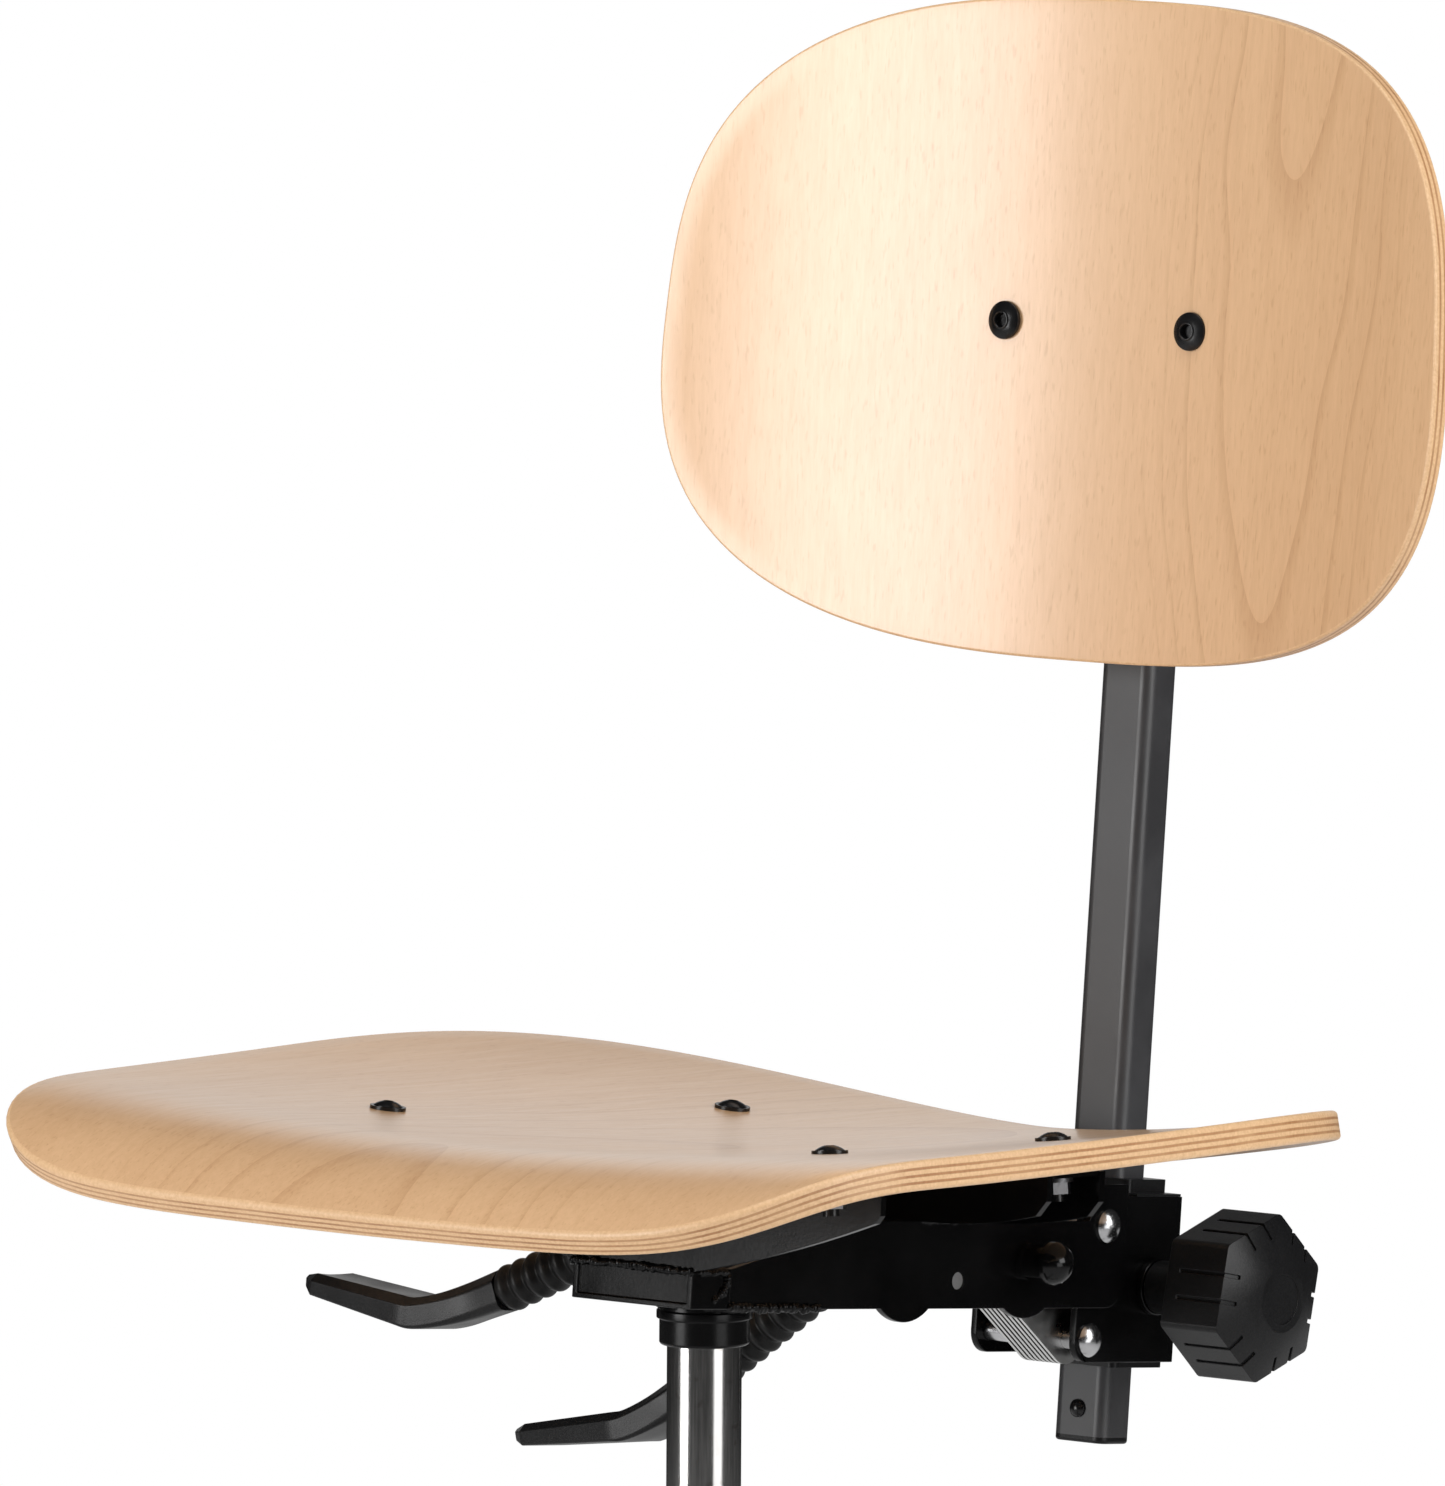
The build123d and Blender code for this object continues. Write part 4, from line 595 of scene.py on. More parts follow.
# ---------------------------------------------------------------- plywood shells
OUTLINE_STEPS = 1440


def superellipse(half_width, to_front, to_rear, power_front, power_rear, flare):
    """Closed outline, widest near y = 0; flare is the share of its width gained per span of y."""
    outline = []
    for step in range(OUTLINE_STEPS):
        angle = 2 * pi * step / OUTLINE_STEPS
        rear = sin(angle) >= 0
        power = power_rear if rear else power_front
        reach = to_rear if rear else to_front
        y = reach * abs(sin(angle)) ** (2 / power) * (1 if rear else -1)
        x = half_width * (1 + flare * y / SPAN) * abs(cos(angle)) ** (2 / power)
        outline.append(Vector((x if cos(angle) >= 0 else -x, y)))
    return outline


def even_loop(loop, steps):
    """The same closed outline with evenly spaced points."""
    count = len(loop)
    lengths = [0.0]
    for index in range(count):
        lengths.append(lengths[-1] + (loop[(index + 1) % count] - loop[index]).length)
    even = []
    index = 0
    for step in range(steps):
        target = lengths[-1] * step / steps
        while lengths[index + 1] < target:
            index += 1
        share = (target - lengths[index]) / max(lengths[index + 1] - lengths[index], 1e-9)
        even.append(loop[index].lerp(loop[(index + 1) % count], share))
    return even


def inset(loop, distance):
    """The outline drawn in by a distance, square to itself."""
    count = len(loop)
    drawn = []
    for index, point in enumerate(loop):
        tangent = (loop[(index + 1) % count] - loop[index - 1]).normalized()
        drawn.append(point + Vector((-tangent.y, tangent.x)) * distance)
    return drawn


FACE_RINGS = [0.02] + [step / 22 for step in range(1, 23)]     # shares of the outline's size
EDGE_STEPS = 6                                                 # rings of a rounded edge


def shell_rings(outline, thickness, radius):
    """Rings of a rounded slab, each a loop and its depth, from the top middle to the bottom middle."""
    face = inset(outline, radius)
    top = [([point * share for point in face], 0.0) for share in FACE_RINGS]
    edge = []
    for step in range(1, EDGE_STEPS + 1):
        angle = step / EDGE_STEPS * pi / 2
        edge.append((inset(outline, radius * (1 - sin(angle))), radius * (1 - cos(angle))))
    side = [(outline, thickness * share) for share in (0.35, 0.5, 0.65)]
    lower = [(loop, thickness - depth) for loop, depth in reversed(edge)]
    bottom = [(loop, thickness) for loop, _ in reversed(top)]
    return top, edge + side + lower, bottom


def ply_shell(name, outline, thickness, radius, surface, finishes, body):
    """Rounded plywood slab on a surface, with veneered faces and a striped edge."""
    top, edge, bottom = shell_rings(outline, thickness, radius)
    rings = top + edge + bottom
    count = len(outline)
    points = []
    depths = []
    for loop, depth in rings:
        points += [surface(point.x, point.y, depth) for point in loop]
        depths += [depth / thickness] * count
    points += [surface(0, 0, 0.0), surface(0, 0, thickness)]
    depths += [0.0, 1.0]
    faces = ring_faces(len(rings), count)
    kinds = []
    edge_rows = range(len(top) - 1, len(top) + len(edge))
    for ring in range(len(rings) - 1):
        kinds += [1 if ring in edge_rows else 0] * count
    last = (len(rings) - 1) * count
    for index in range(count):
        following = (index + 1) % count
        faces.append((len(points) - 2, index, following))
        faces.append((len(points) - 1, last + following, last + index))
        kinds += [0, 0]
    piece = mesh_piece(name, points, faces, finishes[0], body, smooth_angle=60.0)
    piece.data.materials.append(finishes[1])
    for polygon, kind in zip(piece.data.polygons, kinds):
        polygon.material_index = kind
    layer = piece.data.attributes.new("ply_depth", "FLOAT", "POINT")
    layer.data.foreach_set("value", depths)
    return piece


def seat_height(x, u):
    """w of the seat's top surface: dished to the sides, falling away at the front."""
    seat = setting("seat")
    side, back = abs(x) / SPAN, u / SPAN
    height, slope, curve = SEAT_LEVEL
    level = height + slope * back + curve * back ** 2
    slope, curve = DISH_CHANGE
    dish = (seat.dish_depth + slope * back + curve * back ** 2) * side ** DISH_POWER
    fall = seat.fall_depth * (max(0.0, LIP_START - u) / LIP_SPAN) ** LIP_POWER
    return level + dish - fall


def seat_surface(x, y, depth):
    """Place on the seat, or depth below its top and square to it; y counts rearwards."""
    u = y + SEAT_CENTRE
    slope_x = seat_height(x + 0.5, u) - seat_height(x - 0.5, u)
    slope_u = seat_height(x, u + 0.5) - seat_height(x, u - 0.5)
    drop = depth / sqrt(1 + slope_x ** 2 + slope_u ** 2)
    return place_point(x + slope_x * drop, u + slope_u * drop, seat_height(x, u) - drop)


class THRONE_OT_seat(bpy.types.Operator):
    """Makes the dished plywood seat."""
    bl_idname = "throne.seat"
    bl_label = "Plywood seat"

    def execute(self, context):
        seat = setting("seat")
        outline = superellipse(seat.half_width, **SEAT_OUTLINE)
        shell = ply_shell(
            "seat_plywood", even_loop(outline, steps=240), seat.thickness, seat.edge_radius, seat_surface,
            (FINISHES["seat_face"], FINISHES["seat_edge"]), "seat_carrier",
        )
        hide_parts("seat_shell")
        return {"FINISHED"}


def back_surface(x, y, depth):
    """Place on the backrest, or depth behind its front face; y counts upwards."""
    radius = setting("backrest").bend_radius
    u = BACK_FACE - radius + sqrt((radius + depth) ** 2 - x ** 2)
    return place_point(x, u, BACK_CENTRE + y)


class THRONE_OT_backrest(bpy.types.Operator):
    """Makes the bent plywood backrest."""
    bl_idname = "throne.backrest"
    bl_label = "Plywood backrest"

    def execute(self, context):
        back = setting("backrest")
        outline = superellipse(back.half_width, **BACK_OUTLINE)
        outline = [point - Vector((back.off_centre, 0.0)) for point in outline]
        shell = ply_shell(
            "backrest_plywood", even_loop(outline, steps=220), back.thickness, back.edge_radius,
            back_surface, (FINISHES["back_face"], FINISHES["back_edge"]), "back_post",
        )
        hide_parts("backrest_shell")
        return {"FINISHED"}


# Backrest bolt: how proud its rim stands, the radius and rise of its dome, the radii at which the
# dome has rings, and radius and height of its profile from the socket to the sleeve
BOLT_SPACING = 90.8
BOLT_PROUD = 0.12
BOLT_DOME = (14.75, 3.2)
DOME_RINGS = [3.4 + step * 0.48 for step in range(9)]
BOLT_SOCKET = [(1.2, 0.5), (2.3, 0.5), (2.5, 0.8), (2.72, 2.5), (2.8, 2.92), (2.95, 3.06), (3.15, 3.04)]
BOLT_RIM = [(7.38, 0.95), (7.38, 0.0), (4.5, 0.0), (4.5, -18.0), (2.0, -18.0)]
TURN_STEPS = 64


def turned_piece(name, profile, places, finish, body):
    """Closed turned bodies, one at each place, from a profile whose ends are closed flat."""
    points = []
    faces = []
    for place in places:
        first = len(points)
        for radius, height in profile:
            for step in range(TURN_STEPS):
                angle = 2 * pi * step / TURN_STEPS
                points.append(place @ (Vector((radius * cos(angle), radius * sin(angle), height)) * MM))
        last = first + (len(profile) - 1) * TURN_STEPS
        faces += ring_faces(len(profile), TURN_STEPS, first)
        faces.append([first + step for step in range(TURN_STEPS)])
        faces.append([last + step for step in reversed(range(TURN_STEPS))])
    piece = mesh_piece(name, points, faces, finish, body, smooth_angle=32.0)
    outward_faces(piece)
    return piece


class THRONE_OT_bolts(bpy.types.Operator):
    """Makes the two domed sleeve bolts of the backrest."""
    bl_idname = "throne.bolts"
    bl_label = "Backrest bolts"

    def execute(self, context):
        radius, rise = BOLT_DOME
        dome = [(reach, rise - radius + sqrt(radius ** 2 - reach ** 2)) for reach in DOME_RINGS]
        places = []
        for x in (-BOLT_SPACING / 2, BOLT_SPACING / 2):
            rim = back_surface(x, 0, -BOLT_PROUD)
            outwards = (rim - back_surface(x, 0, 0.0)).normalized()
            places.append(Matrix.Translation(rim) @ outwards.to_track_quat("Z", "Y").to_matrix().to_4x4())
        profile = BOLT_SOCKET + dome + BOLT_RIM
        bolts = turned_piece("sleeve_bolts", profile, places, FINISHES["screw"], "back_post")
        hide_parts("backrest_bolts")
        return {"FINISHED"}


# ---------------------------------------------------------------- levers
def lever_place(lever, along):
    """World matrix, in metres, on a lever's sloping part, +X outwards along its rod."""
    bend = Matrix.Translation((-lever["bend"] * MM, lever["u"] * MM, lever["height"] * MM))
    return (
        MECHANISM @ bend @ Matrix.Rotation(pi, 4, "Z")
        @ Matrix.Rotation(radians(lever["slope"]), 4, "Y") @ Matrix.Translation((along * MM, 0, 0))
    )


def bellows_length(lever):
    """Length of a lever's bellows in millimetres: their ribs and a short collar."""
    return 1.0 + (lever["ribs"] - 0.1) * setting("levers").rib_pitch


def ribbed_sleeve_tree():
    """Geometry Nodes: a straight sleeve whose wall swells into even ribs."""
    build, sockets = rule_tree("Ribbed sleeve", (
        ("Length", "Float", 0.07), ("Pitch", "Float", 0.0072), ("Crest radius", "Float", 0.009),
        ("Root radius", "Float", 0.0072), ("Bore radius", "Float", 0.0043), ("Rubber", "Material", None),
    ), "Sleeve")
    given = build.add("NodeGroupInput").outputs
    grid = build.add("GeometryNodeMeshGrid", {
        "Size X": 1.0, "Size Y": 1.0, "Vertices X": SLEEVE_GRID[0], "Vertices Y": SLEEVE_GRID[1],
    })
    place = build.add("ShaderNodeSeparateXYZ", {0: build.add("GeometryNodeInputPosition").outputs[0]})
    along = build.math("MULTIPLY", build.math("ADD", place.outputs["X"], 0.5), given["Length"])
    turn = build.math("MULTIPLY", place.outputs["Y"], 2 * pi)
    phase = build.math("MULTIPLY", build.math("DIVIDE", along, given["Pitch"]), 2 * pi)
    swell = build.math("MULTIPLY_ADD", build.math("COSINE", phase), -0.5, 0.5)
    swell = build.math("POWER", swell, 0.7)
    rise = build.math("SUBTRACT", given["Crest radius"], given["Root radius"])
    outside = build.math("MULTIPLY_ADD", swell, rise, given["Root radius"])
    walls = []
    for radius in (outside, given["Bore radius"]):
        position = build.add("ShaderNodeCombineXYZ", {
            "X": along,
            "Y": build.math("MULTIPLY", radius, build.math("COSINE", turn)),
            "Z": build.math("MULTIPLY", radius, build.math("SINE", turn)),
        })
        walls.append(build.add("GeometryNodeSetPosition", {
            "Geometry": grid.outputs["Mesh"], "Position": position.outputs[0],
        }))
    walls[1] = build.add("GeometryNodeFlipFaces", {"Mesh": walls[1].outputs[0]})
    both = build.add("GeometryNodeJoinGeometry")
    for wall in walls:
        build.tree.links.new(wall.outputs[0], both.inputs[0])
    merged = build.add("GeometryNodeMergeByDistance", {"Geometry": both.outputs[0], "Distance": 1e-6})
    smooth = build.add("GeometryNodeSetShadeSmooth", {"Geometry": merged.outputs[0]})
    build.finish(smooth.outputs[0], given["Rubber"])
    return build.tree, sockets


def make_bellows(name, lever, body, node, tree, sockets):
    """Ribbed sleeve of one lever; it stands for the lever's plain one."""
    levers = setting("levers")
    sleeve = grown_piece(name, bpy.data.meshes.new(name), tree, {
        sockets["Length"]: bellows_length(lever) * MM,
        sockets["Pitch"]: bellows_length(lever) / lever["ribs"] * MM,
        sockets["Crest radius"]: levers.crest / 2 * MM,
        sockets["Root radius"]: levers.root / 2 * MM,
        sockets["Bore radius"]: SLEEVE_BORE * MM,
        sockets["Rubber"]: FINISHES["rubber"],
    }, body, lever_place(lever, lever["start"]))
    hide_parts(node)


class THRONE_OT_bellows(bpy.types.Operator):
    """Makes the ribbed rubber bellows of both levers."""
    bl_idname = "throne.bellows"
    bl_label = "Rubber bellows"

    def execute(self, context):
        tree, sockets = ribbed_sleeve_tree()
        make_bellows("gas_bellows", GAS_LEVER, "gas_lever", "gas_lever_bellows", tree, sockets)
        make_bellows("tilt_bellows", TILT_LEVER, "tilt_lever", "tilt_lever_bellows", tree, sockets)
        return {"FINISHED"}


FILLET_STEPS = 4


def filleted(corner, before, after, radius):
    """Points round a corner, from its leg towards before to its leg towards after."""
    inward = (before - corner).normalized()
    outward = (after - corner).normalized()
    reach = radius / max(sqrt((1 - inward.dot(outward)) / (1 + inward.dot(outward) + 1e-9)), 0.2)
    reach = min(reach, 0.45 * (before - corner).length, 0.45 * (after - corner).length)
    first, last = corner + inward * reach, corner + outward * reach
    arc = []
    for step in range(FILLET_STEPS):
        share = step / (FILLET_STEPS - 1)
        arc.append(first.lerp(corner, share).lerp(corner.lerp(last, share), share))
    return arc


def handle_outline(width, height, bevel, radius, dish):
    """Cross-section of a handle: hollowed top, bevelled shoulders, upright sides, flat underside."""
    half, rise = width / 2, height / 2
    corners = [
        Vector((half - 1.15 * bevel, rise)), Vector((half, rise - bevel)), Vector((half - 0.5, -rise)),
    ]
    corners += [Vector((-corner.x, corner.y)) for corner in reversed(corners)]
    outline = []
    for index, corner in enumerate(corners):
        following = corners[(index + 1) % len(corners)]
        rounder = UNDERSIDE if corner.y < -2 else 1
        outline += filleted(corner, corners[index - 1], following, radius * rounder)
    reach = outline[0].x
    for step in range(-3, 4):
        share = step / 4
        outline.append(Vector((share * reach, rise - dish * (1 - share ** 2))))
    return outline


def handle_keys():
    """Sections of a handle: place x, z, lean, then width, height, bevel, corner radius and dish."""
    levers = setting("levers")
    bend = degrees(levers.elbow)
    wide = levers.paddle_width - 0.1
    keys = [
        (0.0, 0.0, 0.0, 15.9, 15.9, 4.4, 2.6, 0.0), (14.85, 0.0, 0.0, 16.9, 14.4, 4.0, 2.2, 0.0),
        (27.06, 0.4, bend * 0.3, 21.9, 12.9, 3.4, 1.4, 0.0),
        (38.0, 2.2, bend * 0.75, 26.9, 12.1, 3.2, 1.0, 0.0),
    ]
    for reach, rise, width, height, bevel, radius, dish in (
        (0.0, 0.0, wide, 11.5, 3.4, 0.8, 0.2), (15.0, 0.2, wide - 0.5, 10.5, 3.3, 0.8, 0.7),
        (43.65, 0.6, wide - 1.5, 8.5, 3.0, 0.8, 0.5), (48.5, 0.9, wide - 8.0, 4.9, 1.2, 0.6, 0.0),
    ):
        x = ELBOW[0] + reach * cos(levers.elbow)
        z = ELBOW[1] + reach * sin(levers.elbow) + rise
        keys.append((x, z, bend, width, height, bevel, radius, dish))
    return [Vector(key) for key in keys]


def eased(start, end, enter, leave, share):
    """A point of the curve between two points that has these directions at its ends."""
    square, cube = share ** 2, share ** 3
    return (
        start * (2 * cube - 3 * square + 1) + enter * (cube - 2 * square + share)
        + end * (3 * square - 2 * cube) + leave * (cube - square)
    )


def handle_sections():
    """Sections of a handle along its rod: curved to the elbow, straight along the paddle."""
    keys = handle_keys()
    elbow = 4                          # the key at which the paddle starts
    sections = []
    for index in range(elbow):
        start, end = keys[index], keys[index + 1]
        enter = (end - keys[index - 1]) / 2 if index else end - start
        leave = (keys[index + 2] - start) / 2
        if index + 1 == elbow:
            paddle = keys[elbow + 1] - end
            leave = paddle * ((end - start).length / paddle.length)
        sections += [eased(start, end, enter, leave, step / 6) for step in range(6)]
    for start, end in zip(keys[elbow:], keys[elbow + 1:]):
        sections += [start.lerp(end, share) for share in (0.0, 0.04, 0.5, 0.96)]
    return sections + [keys[-1]]


def make_handle(name, lever, body, node):
    """Paddle handle: squarish neck, elbow and flat paddle with bevelled rims."""
    rings = []
    for x, z, lean, width, height, bevel, radius, dish in handle_sections():
        tilt = radians(lean)
        rings.append([
            Vector((x - point.y * sin(tilt), point.x, z + point.y * cos(tilt))) * MM
            for point in handle_outline(width, height, bevel, radius, dish)
        ])
    count = len(rings[0])
    faces = [(a, d, c, b) for a, b, c, d in ring_faces(len(rings), count)]
    faces.append(tuple(reversed(range(count))))
    faces.append(tuple(range((len(rings) - 1) * count, len(rings) * count)))
    start = lever["start"] + bellows_length(lever) + HANDLE_GAP
    place = lever_place(lever, start) @ Matrix.Rotation(radians(-lever["cant"]), 4, "Y")
    points = [place @ point for ring in rings for point in ring]
    piece = mesh_piece(name, points, faces, FINISHES["plastic"], body, smooth_angle=75.0)
    outward_faces(piece)
    level_shading(piece)
    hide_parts(node)


class THRONE_OT_handles(bpy.types.Operator):
    """Makes the two paddle handles."""
    bl_idname = "throne.handles"
    bl_label = "Paddle handles"

    def execute(self, context):
        make_handle("gas_handle", GAS_LEVER, "gas_lever", "gas_lever_handle")
        make_handle("tilt_handle", TILT_LEVER, "tilt_lever", "tilt_lever_handle")
        return {"FINISHED"}


# ---------------------------------------------------------------- metal parts
PLATES = (
    "socket_box", "frame_plate_left", "frame_plate_right", "bracket_plate_left",
    "bracket_plate_right", "front_seat_wing", "rear_seat_channel", "back_carrier", "clamp_boss",
)
# Finish of each piece, its share of the edge softening and the smallest angle that is rounded
SOFTENED = {
    **dict.fromkeys(PLATES, ("paint", 1.0, 32)),
    "socket_collar": ("paint", 0.8, 32),
    "bush_top": ("plastic", 1.2, 32),
    "bush_bottom": ("plastic", 1.2, 32),
    "clamp_knob": ("plastic", 1.4, 30),
    "base_star": ("paint", 2.0, 32),
    "gas_lever_bracket": ("paint", 0.8, 32),
}
JOIN_DISTANCE = 2e-6
FLAT_ANGLE = 0.15


def coat(mesh, finish):
    """Gives a mesh one finish all over."""
    mesh.materials.clear()
    mesh.materials.append(FINISHES[finish])


def softened(node, finish, width, angle):
    """Copy of a CAD node with its cut edges slightly rounded; it stands for the node."""
    mesh = frame["nodes"][node].data.copy()
    shape = bmesh.new()
    shape.from_mesh(mesh)
    # The node's mesh is loose triangles: they are joined first, then flat ones become one face
    bmesh.ops.remove_doubles(shape, verts=shape.verts, dist=JOIN_DISTANCE)
    bmesh.ops.dissolve_limit(
        shape, angle_limit=radians(FLAT_ANGLE), use_dissolve_boundaries=False,
        verts=shape.verts, edges=shape.edges,
    )
    shape.to_mesh(mesh)
    shape.free()
    coat(mesh, finish)
    for polygon in mesh.polygons:
        polygon.material_index = 0
    piece = linked(node + "_softened", mesh)
    rounding = piece.modifiers.new("Rounded edges", "BEVEL")
    rounding.width = width * MM
    rounding.segments = 2
    rounding.limit_method = "ANGLE"
    rounding.angle_limit = radians(angle)
    rounding.miter_outer = "MITER_ARC"
    smooth_shading(mesh, 180.0)
    level_shading(piece)
    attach(piece, body_of(node))
    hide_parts(node)
    return piece


def domed_crown(knob):
    """Shades the knob's crown, outside its flat face, as one dome."""
    centre, axis = place_point(0, *KNOB_AXIS), Vector((1, 0, 0))
    mesh = knob.data
    normals = [corner.vector.copy() for corner in mesh.corner_normals]
    for polygon in mesh.polygons:
        reach = (polygon.center - centre).cross(axis).length
        if polygon.normal.dot(axis) > CROWN_FACING and reach > KNOB_FLAT * MM:
            for loop in polygon.loop_indices:
                place = mesh.vertices[mesh.loops[loop].vertex_index].co - centre
                outwards = place - axis * place.dot(axis)
                normals[loop] = (axis + outwards * KNOB_DOME).normalized()
    mesh.normals_split_custom_set(normals)


def body_of(node):
    """Name of the body that a CAD node is on."""
    for body, nodes in frame["record"]["behaviour"]["bodies"].items():
        if node in nodes:
            return body
    raise RuntimeError(f"{node} is in no body")


class THRONE_OT_sheet_metal(bpy.types.Operator):
    """Rounds the cut edges of the stamped, folded and moulded parts."""
    bl_idname = "throne.sheet_metal"
    bl_label = "Sheet metal and mouldings"

    def execute(self, context):
        width = setting("metal").edge_softening
        for node, (finish, share, angle) in SOFTENED.items():
            piece = softened(node, finish, width * share, angle)
            if node == "clamp_knob":
                domed_crown(piece)
        return {"FINISHED"}


def weld_bead_tree():
    """Geometry Nodes: overlapping, uneven ripples of weld metal along a line."""
    build, sockets = rule_tree("Weld bead", (
        ("Seam", "Geometry", None), ("Width", "Float", 0.0034), ("Pitch", "Float", 0.0013),
        ("Unevenness", "Float", 0.45), ("Seed", "Int", 4), ("Metal", "Material", None),
    ), "Bead")
    given = build.add("NodeGroupInput").outputs
    spots = build.add("GeometryNodeCurveToPoints", {
        "Curve": given["Seam"], "Length": given["Pitch"],
    }, mode="LENGTH").outputs
    ripple = build.add("GeometryNodeMeshUVSphere", {"Segments": 16, "Rings": 10, "Radius": 0.5})
    size = build.add("FunctionNodeRandomValue", {
        2: build.math("SUBTRACT", 1.0, given["Unevenness"]), 3: 1.0, "Seed": given["Seed"],
    }, data_type="FLOAT")
    width = build.math("MULTIPLY", given["Width"], size.outputs[1])
    scale = build.add("ShaderNodeCombineXYZ", {
        "X": width, "Y": width, "Z": build.math("MULTIPLY", given["Pitch"], 2.0),
    })
    beads = build.add("GeometryNodeInstanceOnPoints", {
        "Points": spots["Points"], "Instance": ripple.outputs["Mesh"],
        "Rotation": spots["Rotation"], "Scale": scale.outputs[0],
    })
    real = build.add("GeometryNodeRealizeInstances", {"Geometry": beads.outputs[0]})
    lumps = build.add("ShaderNodeTexNoise", {"Scale": 420.0, "Detail": 1.0})
    shift = build.add("ShaderNodeVectorMath", {
        0: lumps.outputs["Color"], 1: (0.5, 0.5, 0.5),
    }, operation="SUBTRACT")
    offset = build.add("ShaderNodeVectorMath", {
        0: shift.outputs[0], "Scale": build.math("MULTIPLY", given["Width"], given["Unevenness"]),
    }, operation="SCALE")
    uneven = build.add("GeometryNodeSetPosition", {"Geometry": real.outputs[0], "Offset": offset.outputs[0]})
    smooth = build.add("GeometryNodeSetShadeSmooth", {"Geometry": uneven.outputs[0]})
    build.finish(smooth.outputs[0], given["Metal"])
    return build.tree, sockets


def seam_curve(name, lines):
    """A curve whose splines follow welded seams; points are x, u, w of the mechanism."""
    curve = bpy.data.curves.new(name, "CURVE")
    curve.dimensions = "3D"
    for line in lines:
        spline = curve.splines.new("POLY")
        spline.points.add(len(line) - 1)
        for point, (x, u, w) in zip(spline.points, line):
            point.co = (*place_point(x, u, w), 1.0)
    return curve


SEAM_SIDE = 29.0                       # sideways place of the seams along the frame's plates
COLLAR_SEAM = (17.4, 14.6, 0.3)        # radius, height and waviness of the seam round the collar
COLLAR_SEAM_STEPS = 40


def weld_seams():
    """Seams of the mechanism frame, in its own millimetres."""
    seams = [[(-29, -44.2, 29.4), (-10, -44.5, 29.8), (8, -44.3, 29.6), (28, -44.1, 29.2)]]
    for x in (-SEAM_SIDE, SEAM_SIDE):
        seams.append([(x, -40, 29.2), (x, -24.5, 29.2), (x, -24.1, 25.3), (x, -26.6, 21.6), (x, -31, 18.6)])
        seams.append([(x, -22, 16.4), (x, -4, 15.8), (x, 12, 16.0), (x, 30, 15.6)])
        seams.append([(x, 88, 48.6), (x, 102, 48.8), (x, 116, 48.6)])
    radius, height, wave = COLLAR_SEAM
    ring = []
    for step in range(COLLAR_SEAM_STEPS + 1):
        angle = 2 * pi * step / COLLAR_SEAM_STEPS
        ring.append((radius * cos(angle), radius * sin(angle), height + wave * sin(3 * angle)))
    return seams + [ring]


class THRONE_OT_weld_beads(bpy.types.Operator):
    """Lays the weld beads along the frame's seams."""
    bl_idname = "throne.weld_beads"
    bl_label = "Weld beads"

    def execute(self, context):
        metal = setting("metal")
        tree, sockets = weld_bead_tree()
        beads = grown_piece("weld_beads", seam_curve("weld_beads", weld_seams()), tree, {
            sockets["Width"]: metal.bead_width * MM,
            sockets["Pitch"]: metal.bead_pitch * MM,
            sockets["Metal"]: FINISHES["paint"],
        }, "seat_carrier")
        return {"FINISHED"}


# ---------------------------------------------------------------- finishes of the remaining parts
NODE_FINISHES = {
    "paint": ["column_outer_tube", "gas_lever_rod", "tilt_lever_rod"],
    "bar_paint": ["back_bar"],
    "tube": ["pressure_tube"],
    "bright": ["thrust_bearing", "piston_rod", "clamp_axle", "valve_button"],
    "leaf": ["friction_leaves"],
    "zinc": [
        "rod_clip", "pivot_axle", "cam_washer", "friction_washers",
        "gas_lever_pin", "tilt_lever_pin", "lower_axle", "clamp_screw",
    ],
    # The nuts take the darker copy of the zinc plate, painted shade on their reflections
    "darkened_zinc": ["seat_nuts", "backrest_nuts"],
    "cut": ["spring_pin"],
    "brass": ["piston", "clamp_pad"],
    "plastic": ["base_glides", "column_guide_bush", "bar_end_cap", "bar_top_cap"],
    "gloss": ["clamp_cap"],
    "rubber": ["buffer_ring"],
    "screw": ["seat_screws", "stop_screw", "backrest_bolts"],
}


class THRONE_OT_finishes(bpy.types.Operator):
    """Gives each remaining part its finish."""
    bl_idname = "throne.finishes"
    bl_label = "Finishes of the other parts"

    def execute(self, context):
        for finish, nodes in NODE_FINISHES.items():
            for node in nodes:
                coat(frame["nodes"][node].data, finish)
        for node, (finish, _, _) in SOFTENED.items():
            coat(frame["nodes"][node].data, finish)
        return {"FINISHED"}


# ---------------------------------------------------------------- stage
IMAGE_WIDTH = 1445
IMAGE_HEIGHT = 1486
FOCAL_PIXELS = 18491.0
COLLAR_PIXEL = (704.4, 1344.0)     # where the socket collar's underside lies in the image
PIXELS_PER_MM = 2.68
SENSOR = 36.0
LIGHTS_AIM = (0, 0.05, 0.68)
# Soft lights: azimuth, elevation, distance, width and height, and power
LIGHTS = {
    "Key": (-23, 5, 2.6, (1.1, 1.7), 46.0),
    "Side": (98, 24, 2.6, (1.3, 2.2), 52.0),
    "Side foot": (83, -7, 2.6, (1.25, 0.7), 6.5),
    "Top": (20, 78, 2.4, (1.6, 1.6), 26.0),
}
BACKDROP_EDGE = (0.86, 0.965)      # cosines between which the backdrop fades in, in reflections
FLOOR_HALF = 20.0
FLOOR_DROP = 0.0005                # keeps the glides clear of the floor
SHADOW_REACH = (0.35, 0.9)         # distances between which the floor turns plain white


def towards(azimuth, elevation):
    """Direction from the throne to something seen at these angles, in radians."""
    return Vector((sin(azimuth) * cos(elevation), -cos(azimuth) * cos(elevation), sin(elevation)))


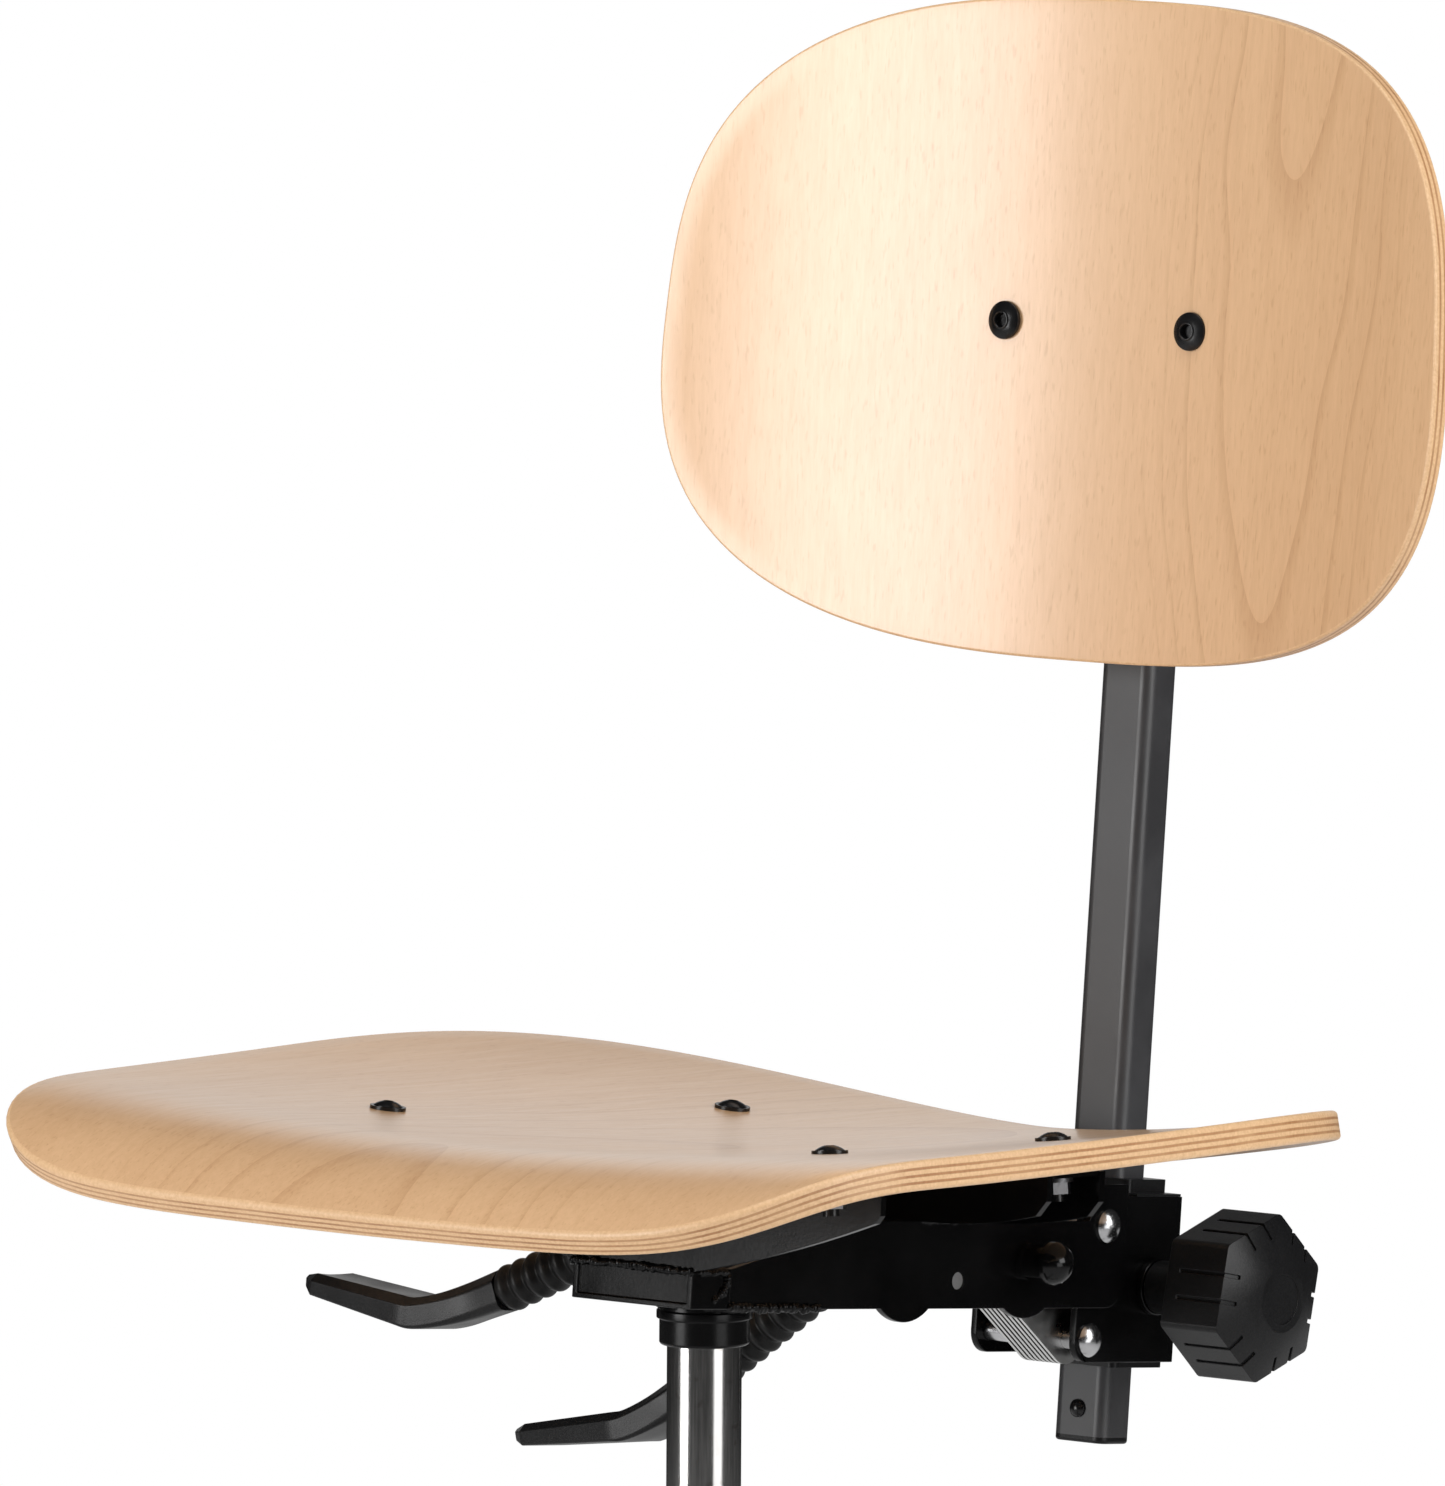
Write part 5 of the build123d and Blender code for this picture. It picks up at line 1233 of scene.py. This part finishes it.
def make_camera():
    """Camera with a long lens, placed by where the collar's underside lies in the image."""
    stage = setting("stage")
    azimuth = stage.azimuth
    back = towards(azimuth, stage.elevation)
    right = Vector((cos(azimuth), sin(azimuth), 0))
    up = back.cross(right)
    across = right * cos(stage.roll) + up * sin(stage.roll)
    upward = up * cos(stage.roll) - right * sin(stage.roll)
    depth = FOCAL_PIXELS / PIXELS_PER_MM * MM
    offset_x = (COLLAR_PIXEL[0] - IMAGE_WIDTH / 2) / FOCAL_PIXELS * depth
    offset_y = -(COLLAR_PIXEL[1] - IMAGE_HEIGHT / 2) / FOCAL_PIXELS * depth
    collar = Vector((0, 0, COLLAR_HEIGHT * MM))
    place = collar - (across * offset_x + upward * offset_y - back * depth)
    data = bpy.data.cameras.new("Camera")
    camera = linked("Camera", data)
    data.sensor_width = data.sensor_height = SENSOR
    data.sensor_fit = "VERTICAL"
    data.lens = FOCAL_PIXELS / IMAGE_HEIGHT * SENSOR
    data.clip_start = 0.1
    data.clip_end = 100.0
    camera.matrix_world = Matrix((
        (across.x, upward.x, back.x, place.x),
        (across.y, upward.y, back.y, place.y),
        (across.z, upward.z, back.z, place.z),
        (0, 0, 0, 1),
    ))
    bpy.context.scene.camera = camera


def make_softbox(name, azimuth, elevation, distance, size, power):
    """Rectangular soft light that looks at the throne."""
    data = bpy.data.lights.new(name, "AREA")
    data.shape = "RECTANGLE"
    data.size, data.size_y = size
    data.energy = power
    lamp = linked(name, data)
    back = towards(radians(azimuth), radians(elevation))
    lamp.location = Vector(LIGHTS_AIM) + back * distance
    lamp.rotation_euler = back.to_track_quat("Z", "Y").to_euler()


def make_world():
    """Even light, a white background to the camera and a dim room in reflections."""
    world = bpy.data.worlds.new("Studio")
    bpy.context.scene.world = world
    world.use_nodes = True
    tree = world.node_tree
    tree.nodes.clear()
    build = Tree(tree)
    path = build.add("ShaderNodeLightPath")
    direction = build.add("ShaderNodeTexCoord").outputs["Generated"]
    stage = setting("stage")
    away = Vector((-sin(stage.azimuth), cos(stage.azimuth), 0.0))
    facing = build.add("ShaderNodeVectorMath", {0: direction, 1: away}, operation="DOT_PRODUCT")
    backdrop = build.ramp(facing.outputs["Value"], *BACKDROP_EDGE, stage.room, stage.backdrop)
    mirrored = build.math("MAXIMUM", path.outputs["Is Glossy Ray"], path.outputs["Is Transmission Ray"])
    level = build.blend(mirrored, stage.sky, backdrop)
    level = build.blend(path.outputs["Is Camera Ray"], level, 1.0)
    sky = build.add("ShaderNodeBackground", {"Color": (1, 1, 1, 1), "Strength": level})
    out = build.add("ShaderNodeOutputWorld")
    tree.links.new(sky.outputs[0], out.inputs[0])


def make_floor():
    """Pale floor that keeps the throne's shadow and is white to the camera elsewhere."""
    mesh = bpy.data.meshes.new("floor")
    sides = ((-1, -1), (1, -1), (1, 1), (-1, 1))
    corners = [(x * FLOOR_HALF, y * FLOOR_HALF, -FLOOR_DROP) for x, y in sides]
    mesh.from_pydata(corners, [], [(0, 1, 2, 3)])
    floor = linked("floor", mesh)
    material = bpy.data.materials.new("Pale floor")
    material.use_nodes = True
    tree = material.node_tree
    tree.nodes.clear()
    build = Tree(tree)
    path = build.add("ShaderNodeLightPath")
    away = build.add("ShaderNodeVectorMath", {
        0: build.add("ShaderNodeTexCoord").outputs["Object"],
    }, operation="LENGTH").outputs["Value"]
    mirrored = path.outputs["Is Glossy Ray"]
    seen = build.math("MAXIMUM", path.outputs["Is Camera Ray"], path.outputs["Is Transmission Ray"])
    unshaded = build.blend(mirrored, build.math("MULTIPLY", seen, build.ramp(away, *SHADOW_REACH)), 1.0)
    stage = setting("stage")
    level = build.blend(mirrored, 1.0, build.ramp(away, 0.8, 3.2, 0.7, stage.room))
    matt = build.add("ShaderNodeBsdfDiffuse", {"Color": (0.9, 0.9, 0.9, 1)})
    plain = build.add("ShaderNodeEmission", {"Color": (1, 1, 1, 1), "Strength": level})
    mixed = build.add("ShaderNodeMixShader", {0: unshaded, 1: matt.outputs[0], 2: plain.outputs[0]})
    out = build.add("ShaderNodeOutputMaterial")
    tree.links.new(mixed.outputs[0], out.inputs[0])
    mesh.materials.append(material)


class THRONE_OT_stage(bpy.types.Operator):
    """Sets the camera, the soft lights, the white surroundings and the floor."""
    bl_idname = "throne.stage"
    bl_label = "Studio stage"

    def execute(self, context):
        make_camera()
        make_world()
        make_floor()
        for name, figures in LIGHTS.items():
            make_softbox(name, *figures)
        bpy.context.scene.view_settings.view_transform = "Standard"
        return {"FINISHED"}


# ---------------------------------------------------------------- panel and run
OPERATORS = (
    THRONE_OT_seat, THRONE_OT_backrest, THRONE_OT_bolts, THRONE_OT_bellows, THRONE_OT_handles,
    THRONE_OT_sheet_metal, THRONE_OT_weld_beads, THRONE_OT_finishes, THRONE_OT_stage,
)


class THRONE_PT_panel(bpy.types.Panel):
    """Sizes, colours and makers of the throne."""
    bl_label = "Drum throne"
    bl_idname = "THRONE_PT_panel"
    bl_space_type = "VIEW_3D"
    bl_region_type = "UI"
    bl_category = "Throne"

    def draw(self, context):
        for name, group in SETTINGS.items():
            box = self.layout.box()
            box.label(text=name.split("_", 1)[1].capitalize())
            for key in group.__annotations__:
                box.prop(getattr(context.scene, name), key)
        for operator in OPERATORS:
            self.layout.operator(operator.bl_idname)


CLASSES = (*SETTINGS.values(), *OPERATORS, THRONE_PT_panel)


def register():
    for kind in CLASSES:
        bpy.utils.register_class(kind)
    for name, group in SETTINGS.items():
        setattr(bpy.types.Scene, name, bpy.props.PointerProperty(type=group))


def unregister():
    for name in SETTINGS:
        delattr(bpy.types.Scene, name)
    for kind in reversed(CLASSES):
        bpy.utils.unregister_class(kind)


def main():
    """Makes every piece and the stage."""
    register()
    FINISHES.update(make_finishes())
    bpy.ops.throne.seat()
    bpy.ops.throne.backrest()
    bpy.ops.throne.bolts()
    bpy.ops.throne.bellows()
    bpy.ops.throne.handles()
    bpy.ops.throne.sheet_metal()
    bpy.ops.throne.weld_beads()
    bpy.ops.throne.finishes()
    bpy.ops.throne.stage()


if __name__ == "__main__":
    main()
